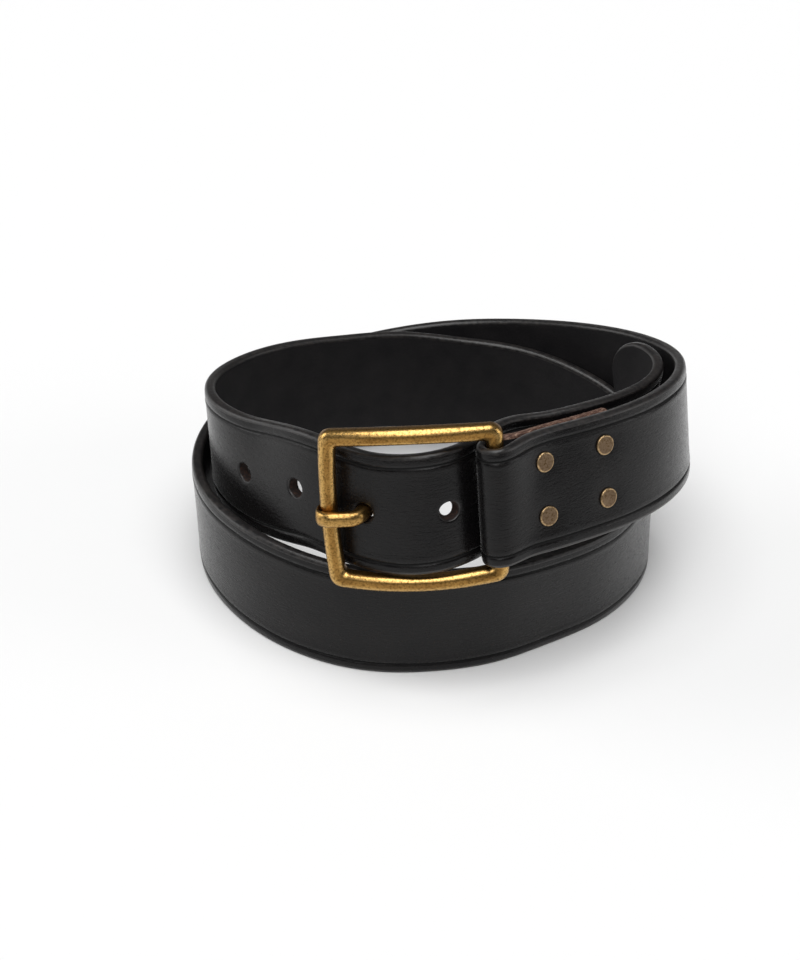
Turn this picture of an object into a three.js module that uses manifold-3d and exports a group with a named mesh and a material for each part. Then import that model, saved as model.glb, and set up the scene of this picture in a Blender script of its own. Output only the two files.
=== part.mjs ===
// Leather belt with a square frame buckle, buckled and coiled on its lower edge.
// Millimetres, +Z up. The viewer's side is -Y, and the buckle faces it.
import * as THREE from 'three';
import { mergeVertices } from 'three/addons/utils/BufferGeometryUtils.js';
import Module from 'manifold-3d';

// Driving dimensions
const strapWidth = 38;
const strapThickness = 3.6;
const strapBevel = 0.8;
const foldThickness = 2.8;
const frameLength = 54;
const frameHeight = 51;
const barWidth = 5;
const barDepth = 4.4;
const heelBarDiameter = 5;
const holePitch = 25.4;
const holeDiameter = 6;
const holesEachSide = 2;
const rivetHeadDiameter = 6.5;
const shankDiameter = 2.6;
const rivetHoleDiameter = 3.4;
const clearance = 0.3;
const roundSides = 14;

// Where the coil's middle lies, measured from the origin under the middle of the outline
const coilMiddle = new THREE.Vector3(1.84, -2.32, 0);

// The lower edge is pressed flat by this much where it rests
const settle = 0.25;

// The strap's route seen from above, a row for each 20 degrees of turn from the buckle's heel.
// angle: degrees round the coil, 0 at the viewer's side and 90 at the right
// radius: from the coil's middle to the middle of the leather
// height: of the strap's middle line above the ground
// lean: degrees that the upper edge leans outwards
const route = [
  { angle: 0, radius: 71, height: 64.5, lean: -23 },
  { angle: 20, radius: 62, height: 66, lean: -21 },
  { angle: 40, radius: 60.5, height: 66, lean: -18 },
  { angle: 60, radius: 65, height: 65.5, lean: -16 },
  { angle: 80, radius: 71, height: 63, lean: -13 },
  { angle: 100, radius: 75.5, height: 58, lean: -9 },
  { angle: 120, radius: 75, height: 50.5, lean: -3 },
  { angle: 140, radius: 72.5, height: 43, lean: 1 },
  { angle: 160, radius: 71, height: 36.5, lean: 3 },
  { angle: 180, radius: 71.5, height: 31, lean: 5 },
  { angle: 200, radius: 72.5, height: 26.5, lean: 6 },
  { angle: 220, radius: 74, height: 23.5, lean: 6 },
  { angle: 240, radius: 76, height: 21, lean: 6 },
  { angle: 260, radius: 79, height: 19.5, lean: 5 },
  { angle: 280, radius: 79.5, height: 19, lean: 5 },
  { angle: 300, radius: 76, height: 19, lean: 3 },
  { angle: 320, radius: 71, height: 19, lean: 0 },
  { angle: 340, radius: 65.5, height: 19, lean: -1 },
  { angle: 360, radius: 59.5, height: 19, lean: -1 },
  { angle: 380, radius: 56.5, height: 19, lean: 1 },
  { angle: 400, radius: 55.8, height: 19, lean: 3 },
  { angle: 420, radius: 59.5, height: 19, lean: 2 },
  { angle: 440, radius: 64.2, height: 19, lean: -3 },
  { angle: 460, radius: 69.2, height: 19.5, lean: -4.5 },
  { angle: 480, radius: 69.8, height: 25.5, lean: 0 },
  { angle: 500, radius: 66.8, height: 30.3, lean: -6 },
  { angle: 520, radius: 63.5, height: 30.9, lean: -1 },
  { angle: 540, radius: 60, height: 31.8, lean: 1 },
  { angle: 560, radius: 59.5, height: 34.2, lean: 1 },
  { angle: 580, radius: 61, height: 36, lean: 2 },
  { angle: 600, radius: 67.5, height: 38, lean: 5 },
  { angle: 620, radius: 75.2, height: 40.5, lean: 5 },
  { angle: 640, radius: 74.4, height: 45, lean: 4.5 },
  { angle: 660, radius: 66.6, height: 49.6, lean: -4 },
  { angle: 680, radius: 64.4, height: 56.8, lean: -5 },
  { angle: 700, radius: 64.4, height: 58.4, lean: -7.5 },
  { angle: 720, radius: 62.6, height: 63.2, lean: -13 },
  { angle: 740, radius: 45.3, height: 61.3, lean: -13 },
  { angle: 760, radius: 44, height: 60, lean: -14 },
  { angle: 780, radius: 50, height: 60, lean: -14 },
  { angle: 800, radius: 57.5, height: 58, lean: -7.5 },
  { angle: 820, radius: 64.8, height: 57, lean: 4 },
  { angle: 840, radius: 63.8, height: 52.5, lean: -2.5 },
  { angle: 860, radius: 57, height: 45, lean: -3 },
];
const heelAngle = 14;
const tipAngle = 840;
const holeInUseAngle = 698;

// The fold round the heel bar: lengths along the strap from the bar
const foldBlend = 12;
const foldTwist = 22;
const foldBackLength = 46;
const leafGap = 0.45;
const foldBulge = 2;
const tipLength = 16;
const tipPower = 2.8;
const tipEndShare = 0.3;
const foldBackClip = 4;
const rivetColumns = [15, 37];
const rivetRows = [9.5, -7.4];

// The buckle's frame: degrees it turns about the vertical, leans and tips sideways
const frameYaw = -1;
const frameLean = -9.5;
const frameRoll = 8;
const frameBow = 3.6;
const frameConvex = 0.9;
const outerCorner = 4;
const innerCorner = 1.5;

const halfWidth = strapWidth / 2;
const halfThickness = strapThickness / 2;
const degree = Math.PI / 180;
const colours = { leather: 0x1b1a1b, brass: 0x9c7b3f, rivet: 0x8f7f66 };

const wasm = await Module();
wasm.setup();

// A natural cubic spline through evenly spaced values
function spline(first, step, values) {
  const last = values.length - 1;
  const bend = new Array(last + 1).fill(0);
  const carry = new Array(last + 1).fill(0);
  for (let i = 1; i < last; i += 1) {
    const pivot = 4 - carry[i - 1];
    carry[i] = 1 / pivot;
    const kink = 6 * (values[i + 1] - 2 * values[i] + values[i - 1]);
    bend[i] = (kink - bend[i - 1]) / pivot;
  }
  for (let i = last - 1; i > 0; i -= 1) {
    bend[i] -= carry[i] * bend[i + 1];
  }
  return (x) => {
    const place = (x - first) / step;
    const i = Math.min(Math.max(Math.floor(place), 0), last - 1);
    const b = place - i;
    const a = 1 - b;
    const cubic = ((a * a * a - a) * bend[i] + (b * b * b - b) * bend[i + 1]) / 6;
    return a * values[i] + b * values[i + 1] + cubic;
  };
}

const rowStep = route[1].angle - route[0].angle;
const radiusAt = spline(0, rowStep, route.map((row) => row.radius));
const heightAt = spline(0, rowStep, route.map((row) => row.height));
const leanAt = spline(0, rowStep, route.map((row) => row.lean));

// The middle of the leather at an angle of the route
function routePoint(angle) {
  const radius = radiusAt(angle);
  const x = radius * Math.sin(angle * degree);
  const y = -radius * Math.cos(angle * degree);
  return new THREE.Vector3(x, y, heightAt(angle) - settle).add(coilMiddle);
}

// The direction across the strap, from its lower edge to its upper edge
function routeAcross(angle) {
  const along = routePoint(angle + 1).sub(routePoint(angle - 1)).normalize();
  const outwards = new THREE.Vector3(along.y, -along.x, 0).normalize();
  const upright = new THREE.Vector3().crossVectors(outwards, along);
  const lean = leanAt(angle) * degree;
  return upright.multiplyScalar(Math.cos(lean)).addScaledVector(outwards, Math.sin(lean));
}

// The route measured along the leather from the heel bar
const routeAngles = [];
const routeLengths = [];
for (let angle = heelAngle; angle <= tipAngle; angle += 1) {
  const count = routeAngles.length;
  const stepLength = count ? routePoint(angle).distanceTo(routePoint(angle - 1)) : 0;
  routeLengths.push(count ? routeLengths[count - 1] + stepLength : 0);
  routeAngles.push(angle);
}
const strapLength = routeLengths[routeLengths.length - 1];

function angleAtLength(length) {
  let i = 1;
  while (i < routeLengths.length - 1 && routeLengths[i] < length) {
    i += 1;
  }
  const part = (length - routeLengths[i - 1]) / (routeLengths[i] - routeLengths[i - 1]);
  return routeAngles[i - 1] + part;
}

const holeInUse = routeLengths[holeInUseAngle - heelAngle];

// The buckle's own directions: along its length, up its bars and out towards the viewer
function frameDirections() {
  const yaw = frameYaw * degree;
  const lean = frameLean * degree;
  const roll = frameRoll * degree;
  const level = new THREE.Vector3(Math.cos(yaw), Math.sin(yaw), 0);
  const front = new THREE.Vector3(Math.sin(yaw), -Math.cos(yaw), 0);
  const upright = new THREE.Vector3(0, 0, Math.cos(lean)).addScaledVector(front, Math.sin(lean));
  const right = level.clone().multiplyScalar(Math.cos(roll)).addScaledVector(upright, Math.sin(roll));
  const up = upright.clone().multiplyScalar(Math.cos(roll)).addScaledVector(level, -Math.sin(roll));
  return { right, up, out: new THREE.Vector3().crossVectors(right, up) };
}
const buckle = frameDirections();

// Half of a cosine, from 1 at the heel bar to 0 at the end of a blend
function fade(length, end) {
  return length < end ? (1 + Math.cos(Math.PI * length / end)) / 2 : 0;
}

// One leaf of the fold: side 1 is the outer leaf, side -1 the thinner fold-back inside it.
// Both lie either side of a middle surface, and part where the heel bar goes between them.
const heelSpread = heelBarDiameter / 2 + leafGap;
const wrapRadius = heelSpread + foldThickness / 2;
const plainInset = (strapThickness + leafGap) / 2;
const heelInset = wrapRadius - foldBulge;

function foldStation(length, side) {
  const angle = length < strapLength ? angleAtLength(length) : tipAngle;
  const twist = fade(length, foldTwist);
  const across = routeAcross(angle).lerp(buckle.up, twist).normalize();
  const along = routePoint(angle + 1).sub(routePoint(angle - 1)).normalize();
  const outwards = new THREE.Vector3().crossVectors(along, across).normalize();
  const middle = fade(length, foldBlend);
  const inset = plainInset + (heelInset - plainInset) * middle;
  const spread = leafGap / 2 + (heelSpread - leafGap / 2) * middle;
  const thinned = side > 0 ? (strapThickness - foldThickness) * (1 - middle) : 0;
  const thick = foldThickness + thinned;
  const offset = side * (spread + thick / 2) - inset;
  const point = routePoint(angle).addScaledVector(outwards, offset);
  return { point, across, along, outwards, thick };
}
const heel = foldStation(0, 0);
heel.point = routePoint(heelAngle).addScaledVector(heel.outwards, -heelInset);

// The spacing of stations: closer in the fold, where the tail bulges and at the tip
const spacing = { fold: 2, tip: 1.6, bulge: 4, plain: 6.5 };
const bulge = { pastHole: 20, reach: 40 };

function stepAt(length) {
  if (length < foldTwist) {
    return spacing.fold;
  }
  if (strapLength - length < tipLength) {
    return spacing.tip;
  }
  const inBulge = Math.abs(length - holeInUse - bulge.pastHole) < bulge.reach;
  return inBulge || length < foldBackLength ? spacing.bulge : spacing.plain;
}

// The whole strap as a row of stations from the fold-back's end to the tip
function strapStations() {
  const lengths = [];
  for (let length = spacing.fold; length < strapLength; length += stepAt(length)) {
    lengths.push(length);
  }
  const foldBack = lengths.filter((length) => length <= foldBackLength).reverse();
  const stations = foldBack.map((length) => (
    { ...foldStation(length, -1), place: foldBack[0] - length - foldBackLength }
  ));
  const wrapSteps = 12;
  for (let i = 0; i <= wrapSteps; i += 1) {
    const turn = Math.PI * (1 - i / wrapSteps);
    const point = heel.point.clone();
    point.addScaledVector(heel.outwards, wrapRadius * Math.cos(turn));
    point.addScaledVector(heel.along, -wrapRadius * Math.sin(turn));
    stations.push({ point, across: heel.across, thick: foldThickness, place: -1 });
  }
  lengths.forEach((length) => stations.push({ ...foldStation(length, 1), place: length }));
  stations.push({ ...foldStation(strapLength, 1), place: strapLength });
  return stations;
}

// The strap's half width: clipped corners at the fold-back's end and a blunt round tip
function halfWidthAt(station) {
  const toTip = strapLength - station.place;
  if (station.place >= 0 && toTip < tipLength) {
    const reach = 1 - toTip / tipLength;
    const roundShare = (1 - reach ** tipPower) ** (1 / tipPower);
    return halfWidth * Math.max(roundShare, tipEndShare);
  }
  const fromEnd = station.place + foldBackLength;
  const inClip = station.place < 0 && fromEnd < foldBackClip;
  return inClip ? halfWidth - foldBackClip + fromEnd : halfWidth;
}

// A closed solid swept through stations, each with a ring of corners in the same order
function sweptGeometry(rings, closed) {
  const size = rings[0].length;
  const positions = rings.flat().flatMap((corner) => corner.toArray());
  const faces = [];
  const spans = closed ? rings.length : rings.length - 1;
  for (let i = 0; i < spans; i += 1) {
    const next = (i + 1) % rings.length;
    for (let k = 0; k < size; k += 1) {
      const side = (k + 1) % size;
      const a = i * size + k;
      const b = i * size + side;
      const c = next * size + side;
      const d = next * size + k;
      faces.push(a, b, c, a, c, d);
    }
  }
  const lastRing = (rings.length - 1) * size;
  for (let k = 1; !closed && k < size - 1; k += 1) {
    faces.push(0, k + 1, k);
    faces.push(lastRing, lastRing + k, lastRing + k + 1);
  }
  const geometry = new THREE.BufferGeometry();
  geometry.setAttribute('position', new THREE.Float32BufferAttribute(positions, 3));
  geometry.setIndex(faces);
  return geometry;
}

// Eight corners of a flat bar's section with bevelled edges
function bevelledSection(point, across, outwards, wide, thick, bevel) {
  const corner = (u, v) => point.clone().addScaledVector(across, u).addScaledVector(outwards, v);
  return [
    corner(-wide, thick - bevel),
    corner(-wide, -thick + bevel),
    corner(-wide + bevel, -thick),
    corner(wide - bevel, -thick),
    corner(wide, -thick + bevel),
    corner(wide, thick - bevel),
    corner(wide - bevel, thick),
    corner(-wide + bevel, thick),
  ];
}

// The outward direction of each station, square to the strap's own direction
function withOutwards(stations) {
  return stations.map((station, i) => {
    const before = stations[Math.max(i - 1, 0)].point;
    const after = stations[Math.min(i + 1, stations.length - 1)].point;
    const along = after.clone().sub(before).normalize();
    const outwards = new THREE.Vector3().crossVectors(along, station.across).normalize();
    const across = new THREE.Vector3().crossVectors(outwards, along);
    return { ...station, along, outwards, across };
  });
}

function toManifold(geometry) {
  const vertProperties = new Float32Array(geometry.attributes.position.array);
  const triVerts = new Uint32Array(geometry.index.array);
  return new wasm.Manifold(new wasm.Mesh({ numProp: 3, vertProperties, triVerts }));
}

function fromManifold(solid) {
  const mesh = solid.getMesh();
  const geometry = new THREE.BufferGeometry();
  geometry.setAttribute('position', new THREE.BufferAttribute(mesh.vertProperties, 3));
  geometry.setIndex(new THREE.BufferAttribute(mesh.triVerts, 1));
  return geometry;
}

// A round bar between two points, as a closed geometry with merged corners
function roundBar(from, to, radius, sides) {
  const axis = to.clone().sub(from).normalize();
  const turn = new THREE.Quaternion().setFromUnitVectors(new THREE.Vector3(0, 0, 1), axis);
  const ring = (centre) => Array.from({ length: sides }, (_, k) => {
    const angle = 2 * Math.PI * k / sides;
    const spoke = new THREE.Vector3(radius * Math.cos(angle), radius * Math.sin(angle), 0);
    return spoke.applyQuaternion(turn).add(centre);
  });
  return sweptGeometry([ring(from), ring(to)], false);
}

// The station of the strap's outer leaf at a length from the heel bar, and a height across it
function strapPlace(length, height) {
  const place = (at) => {
    const station = foldStation(at, 1);
    return station.point.addScaledVector(station.across, height);
  };
  const along = place(length + 1).sub(place(length - 1)).normalize();
  const { across } = foldStation(length, 1);
  const outwards = new THREE.Vector3().crossVectors(along, across).normalize();
  return { point: place(length), outwards };
}

// A round cut through the strap, from clear of its outer face to a depth past its middle
function strapCut(place, radius, depth) {
  const from = place.point.clone().addScaledVector(place.outwards, strapThickness);
  const to = place.point.clone().addScaledVector(place.outwards, -depth);
  return toManifold(roundBar(from, to, radius, roundSides));
}

function makeStrap() {
  const stations = withOutwards(strapStations());
  const rings = stations.map((station) => {
    const wide = halfWidthAt(station);
    const thick = station.thick / 2;
    return bevelledSection(station.point, station.across, station.outwards, wide, thick, strapBevel);
  });
  let solid = toManifold(sweptGeometry(rings, false));
  for (let step = -holesEachSide; step <= holesEachSide; step += 1) {
    const place = strapPlace(holeInUse + step * holePitch, 0);
    solid = solid.subtract(strapCut(place, holeDiameter / 2, strapThickness));
  }
  for (const column of rivetColumns) {
    for (const row of rivetRows) {
      const place = strapPlace(column, row);
      const depth = 2 * strapThickness;
      solid = solid.subtract(strapCut(place, rivetHoleDiameter / 2, depth));
    }
  }
  return fromManifold(solid.subtract(toManifold(groundBlock())));
}

// A block under the ground that presses the lower edge flat
function groundBlock() {
  const size = 300;
  const depth = 20;
  const block = new THREE.BoxGeometry(size, size, depth);
  block.translate(0, 0, -depth / 2);
  block.deleteAttribute('normal');
  block.deleteAttribute('uv');
  return mergeVertices(block);
}

// A point in the buckle's own directions, from the frame's middle
const frameMiddle = heel.point.clone();
frameMiddle.addScaledVector(buckle.right, -(frameLength - heelBarDiameter) / 2);

function inBuckle(x, y, z) {
  const point = frameMiddle.clone().addScaledVector(buckle.right, x);
  return point.addScaledVector(buckle.up, y).addScaledVector(buckle.out, z);
}

// A rectangle with round corners, anticlockwise from the right side's lower end.
// Every side but the right one swells outwards by the frame's convexity.
function frameOutline(length, height, radius) {
  const cornerSteps = 4;
  const sideSteps = 8;
  const points = [];
  const corners = [
    { x: length / 2 - radius, y: height / 2 - radius, from: 0 },
    { x: -length / 2 + radius, y: height / 2 - radius, from: 90 },
    { x: -length / 2 + radius, y: -height / 2 + radius, from: 180 },
    { x: length / 2 - radius, y: -height / 2 + radius, from: 270 },
  ];
  corners.forEach((corner, i) => {
    for (let k = 0; k <= cornerSteps; k += 1) {
      const angle = (corner.from + 90 * k / cornerSteps) * degree;
      points.push([corner.x + radius * Math.cos(angle), corner.y + radius * Math.sin(angle)]);
    }
    const next = corners[(i + 1) % corners.length];
    const turned = (corner.from + 90) * degree;
    const [fromX, fromY] = points[points.length - 1];
    const toX = next.x + radius * Math.cos(turned);
    const toY = next.y + radius * Math.sin(turned);
    const swell = i === corners.length - 1 ? 0 : frameConvex;
    for (let k = 1; k < sideSteps; k += 1) {
      const part = k / sideSteps;
      const push = swell * 4 * part * (1 - part);
      const x = fromX + (toX - fromX) * part + push * Math.cos(turned);
      const y = fromY + (toY - fromY) * part + push * Math.sin(turned);
      points.push([x, y]);
    }
  });
  return points;
}

// The cast frame: a flat bar with an inner bevel, turning round where the fold holds it.
// share: part of the way from the inner outline to the outer one; depth: towards the viewer
function makeFrame() {
  const outer = frameOutline(frameLength, frameHeight, outerCorner);
  const inner = frameOutline(frameLength - 2 * barWidth, frameHeight - 2 * barWidth, innerCorner);
  const half = barDepth / 2;
  const barMiddle = (frameLength - barWidth) / 2;
  const flatSection = [
    { share: 1, depth: half - 1.1 },
    { share: 1, depth: -half + 0.6 },
    { share: 0.86, depth: -half },
    { share: 0.14, depth: -half },
    { share: 0, depth: -half + 0.6 },
    { share: 0, depth: half - 1.6 },
    { share: 0.36, depth: half },
    { share: 0.8, depth: half },
  ];
  const foldReach = halfWidth + clearance;
  const rings = outer.map((outerPoint, i) => {
    const innerPoint = inner[i];
    const middleX = (innerPoint[0] + outerPoint[0]) / 2;
    const bow = frameBow * Math.max(1 - (middleX / barMiddle) ** 2, 0);
    const onHeelBar = outerPoint[0] > 0 && Math.abs(innerPoint[1]) < foldReach;
    return flatSection.map(({ share, depth }, k) => {
      const spoke = (1 - 2 * k) * Math.PI / flatSection.length;
      const place = onHeelBar ? (1 + Math.cos(spoke)) / 2 : share;
      const rise = onHeelBar ? heelBarDiameter / 2 * Math.sin(spoke) : depth;
      const x = innerPoint[0] + (outerPoint[0] - innerPoint[0]) * place;
      const y = innerPoint[1] + (outerPoint[1] - innerPoint[1]) * place;
      return inBuckle(x, y, rise + bow);
    });
  });
  return sweptGeometry(rings, true);
}

// The tongue: hooked round the front bar, it crosses the bar and dips through the hole in use.
// Its peg stands a little nearer the bar than the hole's middle.
function makeTongue() {
  const width = 4.6;
  const pegShift = 0.4;
  const hole = strapPlace(holeInUse - pegShift, 0);
  const fromMiddle = hole.point.clone().sub(frameMiddle);
  const holeX = fromMiddle.dot(buckle.right);
  const holeY = fromMiddle.dot(buckle.up);
  const holeZ = fromMiddle.dot(buckle.out);
  const intoX = -hole.outwards.dot(buckle.right);
  const intoZ = -hole.outwards.dot(buckle.out);
  const barX = -(frameLength - barWidth) / 2 - frameConvex;
  const hookGap = 0.4;
  const side = barWidth / 2 + hookGap;
  const face = barDepth / 2 + hookGap;
  const lip = 1;
  const front = 3.6;
  const bevelShare = 0.24;
  const hook = [
    { x: 0.2, z: -face, turn: 180, thick: lip },
    { x: 1 - side, z: -face, turn: 180, thick: lip },
    { x: 0.3 - side, z: 0.3 - face, turn: 135, thick: lip },
    { x: -side, z: 1 - face, turn: 90, thick: lip },
    { x: -side, z: face - 1.2, turn: 90, thick: lip },
    { x: 0.3 - side, z: face - 0.3, turn: 50, thick: 1.7 },
    { x: 1.2 - side, z: face, turn: 15, thick: 2.5 },
    { x: 0.2, z: face, turn: 0, thick: front },
    { x: side, z: face, turn: 0, thick: front },
  ];
  const stations = hook.map(({ x, z, turn, thick }) => {
    const reach = thick / 2;
    const outX = -Math.sin(turn * degree) * reach;
    const outZ = Math.cos(turn * degree) * reach;
    return { point: inBuckle(barX + x + outX, holeY, z + outZ), thick };
  });
  const bendHeight = face + front / 2;
  const bendX = holeX - intoX * (bendHeight - holeZ) / -intoZ;
  const legLength = 3;
  const bendSteps = 6;
  const bendStart = inBuckle(bendX - legLength, holeY, bendHeight);
  const bendCorner = inBuckle(bendX, holeY, bendHeight);
  const bendEnd = inBuckle(bendX + intoX * legLength, holeY, bendHeight + intoZ * legLength);
  const bend = new THREE.QuadraticBezierCurve3(bendStart, bendCorner, bendEnd);
  bend.getPoints(bendSteps).forEach((point) => stations.push({ point, thick: front }));
  const pegTaper = 0.5;
  const pegReach = halfThickness + 1;
  const pegEnd = inBuckle(holeX + intoX * pegReach, holeY, holeZ + intoZ * pegReach);
  stations.push({ point: pegEnd, thick: front - pegTaper });
  const rings = withOutwards(stations.map((station) => ({ ...station, across: buckle.up })));
  return sweptGeometry(rings.map(({ point, across, outwards, thick }) => (
    bevelledSection(point, across, outwards, width / 2, thick / 2, thick * bevelShare)
  )), false);
}

// A flat-headed rivet through both leaves, its axis along Y and its middle between them
function rivetGeometry() {
  const seat = leafGap / 2 + 0.5;
  const front = strapThickness + seat;
  const rear = foldThickness + seat;
  const headThickness = 0.8;
  const edge = 0.3;
  const head = rivetHeadDiameter / 2;
  const shank = shankDiameter / 2;
  const profile = [
    [0, -rear - headThickness],
    [head - edge, -rear - headThickness],
    [head - edge, -rear],
    [shank, -rear],
    [shank, front],
    [head, front],
    [head, front + headThickness - edge],
    [head - edge, front + headThickness],
    [0, front + headThickness],
  ];
  const corners = profile.map(([r, y]) => new THREE.Vector2(r, y));
  const geometry = new THREE.LatheGeometry(corners, roundSides);
  geometry.deleteAttribute('normal');
  geometry.deleteAttribute('uv');
  return mergeVertices(geometry);
}

function named(name, geometry, material) {
  const mesh = new THREE.Mesh(geometry, material);
  mesh.name = name;
  return mesh;
}

const leather = new THREE.MeshStandardMaterial({ color: colours.leather, roughness: 0.5 });
const brass = new THREE.MeshStandardMaterial({ color: colours.brass, roughness: 0.4, metalness: 1 });
const rivetBrass = brass.clone();
rivetBrass.color.set(colours.rivet);

const belt = new THREE.Group();
belt.name = 'belt';
belt.add(named('strap', makeStrap(), leather));
belt.add(named('buckle_frame', makeFrame(), brass));
belt.add(named('tongue', makeTongue(), brass));
let rivetNumber = 1;
for (const column of rivetColumns) {
  for (const row of rivetRows) {
    const rivet = named(`rivet_${rivetNumber}`, rivetGeometry(), rivetBrass);
    const place = strapPlace(column, row);
    rivet.position.copy(place.point).addScaledVector(place.outwards, -plainInset);
    rivet.quaternion.setFromUnitVectors(new THREE.Vector3(0, 1, 0), place.outwards);
    belt.add(rivet);
    rivetNumber += 1;
  }
}

export default belt;
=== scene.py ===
# %% [markdown]
# A leather belt, buckled and coiled on its edge. The real belt is one flat strap of
# thick leather: it is cut, creased, punched and burnished while it lies flat, and only
# then bent. The same order works in a script. Each surface is first worked out flat, as
# arrays of length, height and depth, and one function then bends it round the coil.
# Lengths are written in millimetres and turned to metres where a mesh is made.

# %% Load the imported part
import math

import bpy
import numpy as np
from mathutils import Matrix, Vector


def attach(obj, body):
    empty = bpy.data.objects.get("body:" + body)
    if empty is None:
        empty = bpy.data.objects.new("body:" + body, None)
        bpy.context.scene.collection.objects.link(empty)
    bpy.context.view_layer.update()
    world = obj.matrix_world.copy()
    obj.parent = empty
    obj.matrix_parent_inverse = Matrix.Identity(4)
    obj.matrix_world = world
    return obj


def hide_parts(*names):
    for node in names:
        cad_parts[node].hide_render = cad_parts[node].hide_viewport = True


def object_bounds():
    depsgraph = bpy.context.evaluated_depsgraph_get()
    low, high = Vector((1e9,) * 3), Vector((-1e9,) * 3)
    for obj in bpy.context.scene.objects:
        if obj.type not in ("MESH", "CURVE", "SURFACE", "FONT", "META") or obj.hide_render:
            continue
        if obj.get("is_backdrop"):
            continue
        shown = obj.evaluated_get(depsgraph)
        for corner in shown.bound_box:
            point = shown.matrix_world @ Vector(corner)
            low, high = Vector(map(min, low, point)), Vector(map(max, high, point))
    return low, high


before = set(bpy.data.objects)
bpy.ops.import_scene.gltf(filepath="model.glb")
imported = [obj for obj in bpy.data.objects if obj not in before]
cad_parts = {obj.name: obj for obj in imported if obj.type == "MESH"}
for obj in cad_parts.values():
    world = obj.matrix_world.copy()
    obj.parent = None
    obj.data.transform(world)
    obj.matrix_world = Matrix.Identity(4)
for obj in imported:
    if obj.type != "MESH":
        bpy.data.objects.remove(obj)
solid_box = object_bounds()
print("nodes:", sorted(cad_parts))
print("box:", [[round(1000 * x, 1) for x in corner] for corner in solid_box])

# %% Sizes of the belt, in millimetres
STRAP_WIDTH = 38.0
STRAP_THICKNESS = 3.6
FOLD_THICKNESS = 2.8
LEAF_GAP = 0.45
HOLE_PITCH = 25.4
HOLE_DIAMETER = 5.8
FRAME_LENGTH = 54.0
FRAME_HEIGHT = 51.0
BAR_WIDTH = 5.0
BAR_DEPTH = 4.4
HEEL_BAR_DIAMETER = 5.0
HALF_WIDTH = STRAP_WIDTH / 2
COIL_MIDDLE = np.array([1.84, -2.32, 0.0])
# How far the lower edge is pressed flat where the belt stands on it
SETTLE = 0.25
print(f"strap {STRAP_WIDTH} by {STRAP_THICKNESS} mm, buckle {FRAME_LENGTH} by {FRAME_HEIGHT} mm")


def named_column(table, names, name):
    """The column of a table that its row of names calls by this name."""
    return table[:, names.index(name)]


def to_metres(lengths):
    """The same points or lengths in metres: each number divided by a thousand."""
    return np.asarray(lengths, float) / 1000.0


def unit(vectors):
    """Each vector divided by its own length."""
    return vectors / np.linalg.norm(vectors, axis=-1, keepdims=True)


# %% [markdown]
# A belt seen slightly from above shows its outer face, its upper edge and the far inner
# face at once. The camera stands well back with a long lens, looks down by a little more
# than a third of a right angle, and is rolled slightly, as a camera held in the hand is.

# %% The camera
CAMERA_ELEVATION = 33.97
CAMERA_DISTANCE = 642.2
CAMERA_ROLL = 4.53
CAMERA_LENS = 73.1
AIM = COIL_MIDDLE + np.array([-14.9, 0.0, 29.6])


def make_camera():
    """A camera CAMERA_DISTANCE from the aim, back along a line that rises by CAMERA_ELEVATION."""
    rise, roll = math.radians(CAMERA_ELEVATION), math.radians(CAMERA_ROLL)
    ahead = np.array([0.0, math.cos(rise), -math.sin(rise)])
    level = np.array([1.0, 0.0, 0.0])
    above = np.array([0.0, math.sin(rise), math.cos(rise)])
    right = math.cos(roll) * level + math.sin(roll) * above
    up = math.cos(roll) * above - math.sin(roll) * level
    data = bpy.data.cameras.new("studio_camera")
    data.lens = CAMERA_LENS
    data.clip_start = 0.05
    data.clip_end = 20.0
    placed = np.eye(4)
    placed[:3, :3] = np.column_stack([right, up, -ahead])
    placed[:3, 3] = to_metres(AIM - CAMERA_DISTANCE * ahead)
    made = bpy.data.objects.new("studio_camera", data)
    made.matrix_world = Matrix(placed.tolist())
    bpy.context.scene.collection.objects.link(made)
    bpy.context.scene.camera = made
    return made


camera = make_camera()
print("camera at", [round(v, 3) for v in camera.matrix_world.translation])

# %% [markdown]
# The coil is described as a spiral staircase is: for every twenty degrees of turn, how
# far out the leather stands, how high its middle line runs, and how much it leans. A
# smooth curve through these rows gives every place in between. A natural cubic spline
# bends as little as it can, which is also what a strip of stiff leather does.

# %% The route of the strap
ROUTE_STEP = 20.0
ROUTE_COLUMNS = ("radius", "height", "lean")
ROUTE = np.array([
    (71.0, 64.5, -23), (62.0, 66.0, -21), (60.5, 66.0, -18), (65.0, 65.5, -16),
    (71.0, 63.0, -13), (75.5, 58.0, -9), (75.0, 50.5, -3), (72.5, 43.0, 1),
    (71.0, 36.5, 3), (71.5, 31.0, 5), (72.5, 26.5, 6), (74.0, 23.5, 6),
    (76.0, 21.0, 6), (79.0, 19.5, 5), (79.5, 19.0, 5), (76.0, 19.0, 3),
    (71.0, 19.0, 0), (65.5, 19.0, -1), (59.5, 19.0, -1), (56.5, 19.0, 1),
    (55.8, 19.0, 3), (59.5, 19.0, 2), (64.2, 19.0, -3), (69.2, 19.5, -4.5),
    (69.8, 25.5, 0), (66.8, 30.3, -6), (63.5, 30.9, -1), (60.0, 31.8, 1),
    (59.5, 34.2, 1), (61.0, 36.0, 2), (67.5, 38.0, 5), (75.2, 40.5, 5),
    (74.4, 45.0, 4.5), (66.6, 49.6, -4), (64.4, 56.8, -5), (64.4, 58.4, -7.5),
    (62.6, 63.2, -13), (45.3, 61.3, -13), (44.0, 60.0, -14), (50.0, 60.0, -14),
    (57.5, 58.0, -7.5), (64.8, 57.0, 4), (63.8, 52.5, -2.5), (57.0, 45.0, -3),
])
# Three places on the route, in degrees of turn from the front
HEEL_ANGLE = 14
TIP_ANGLE = 840
HOLE_IN_USE_ANGLE = 698


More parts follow.
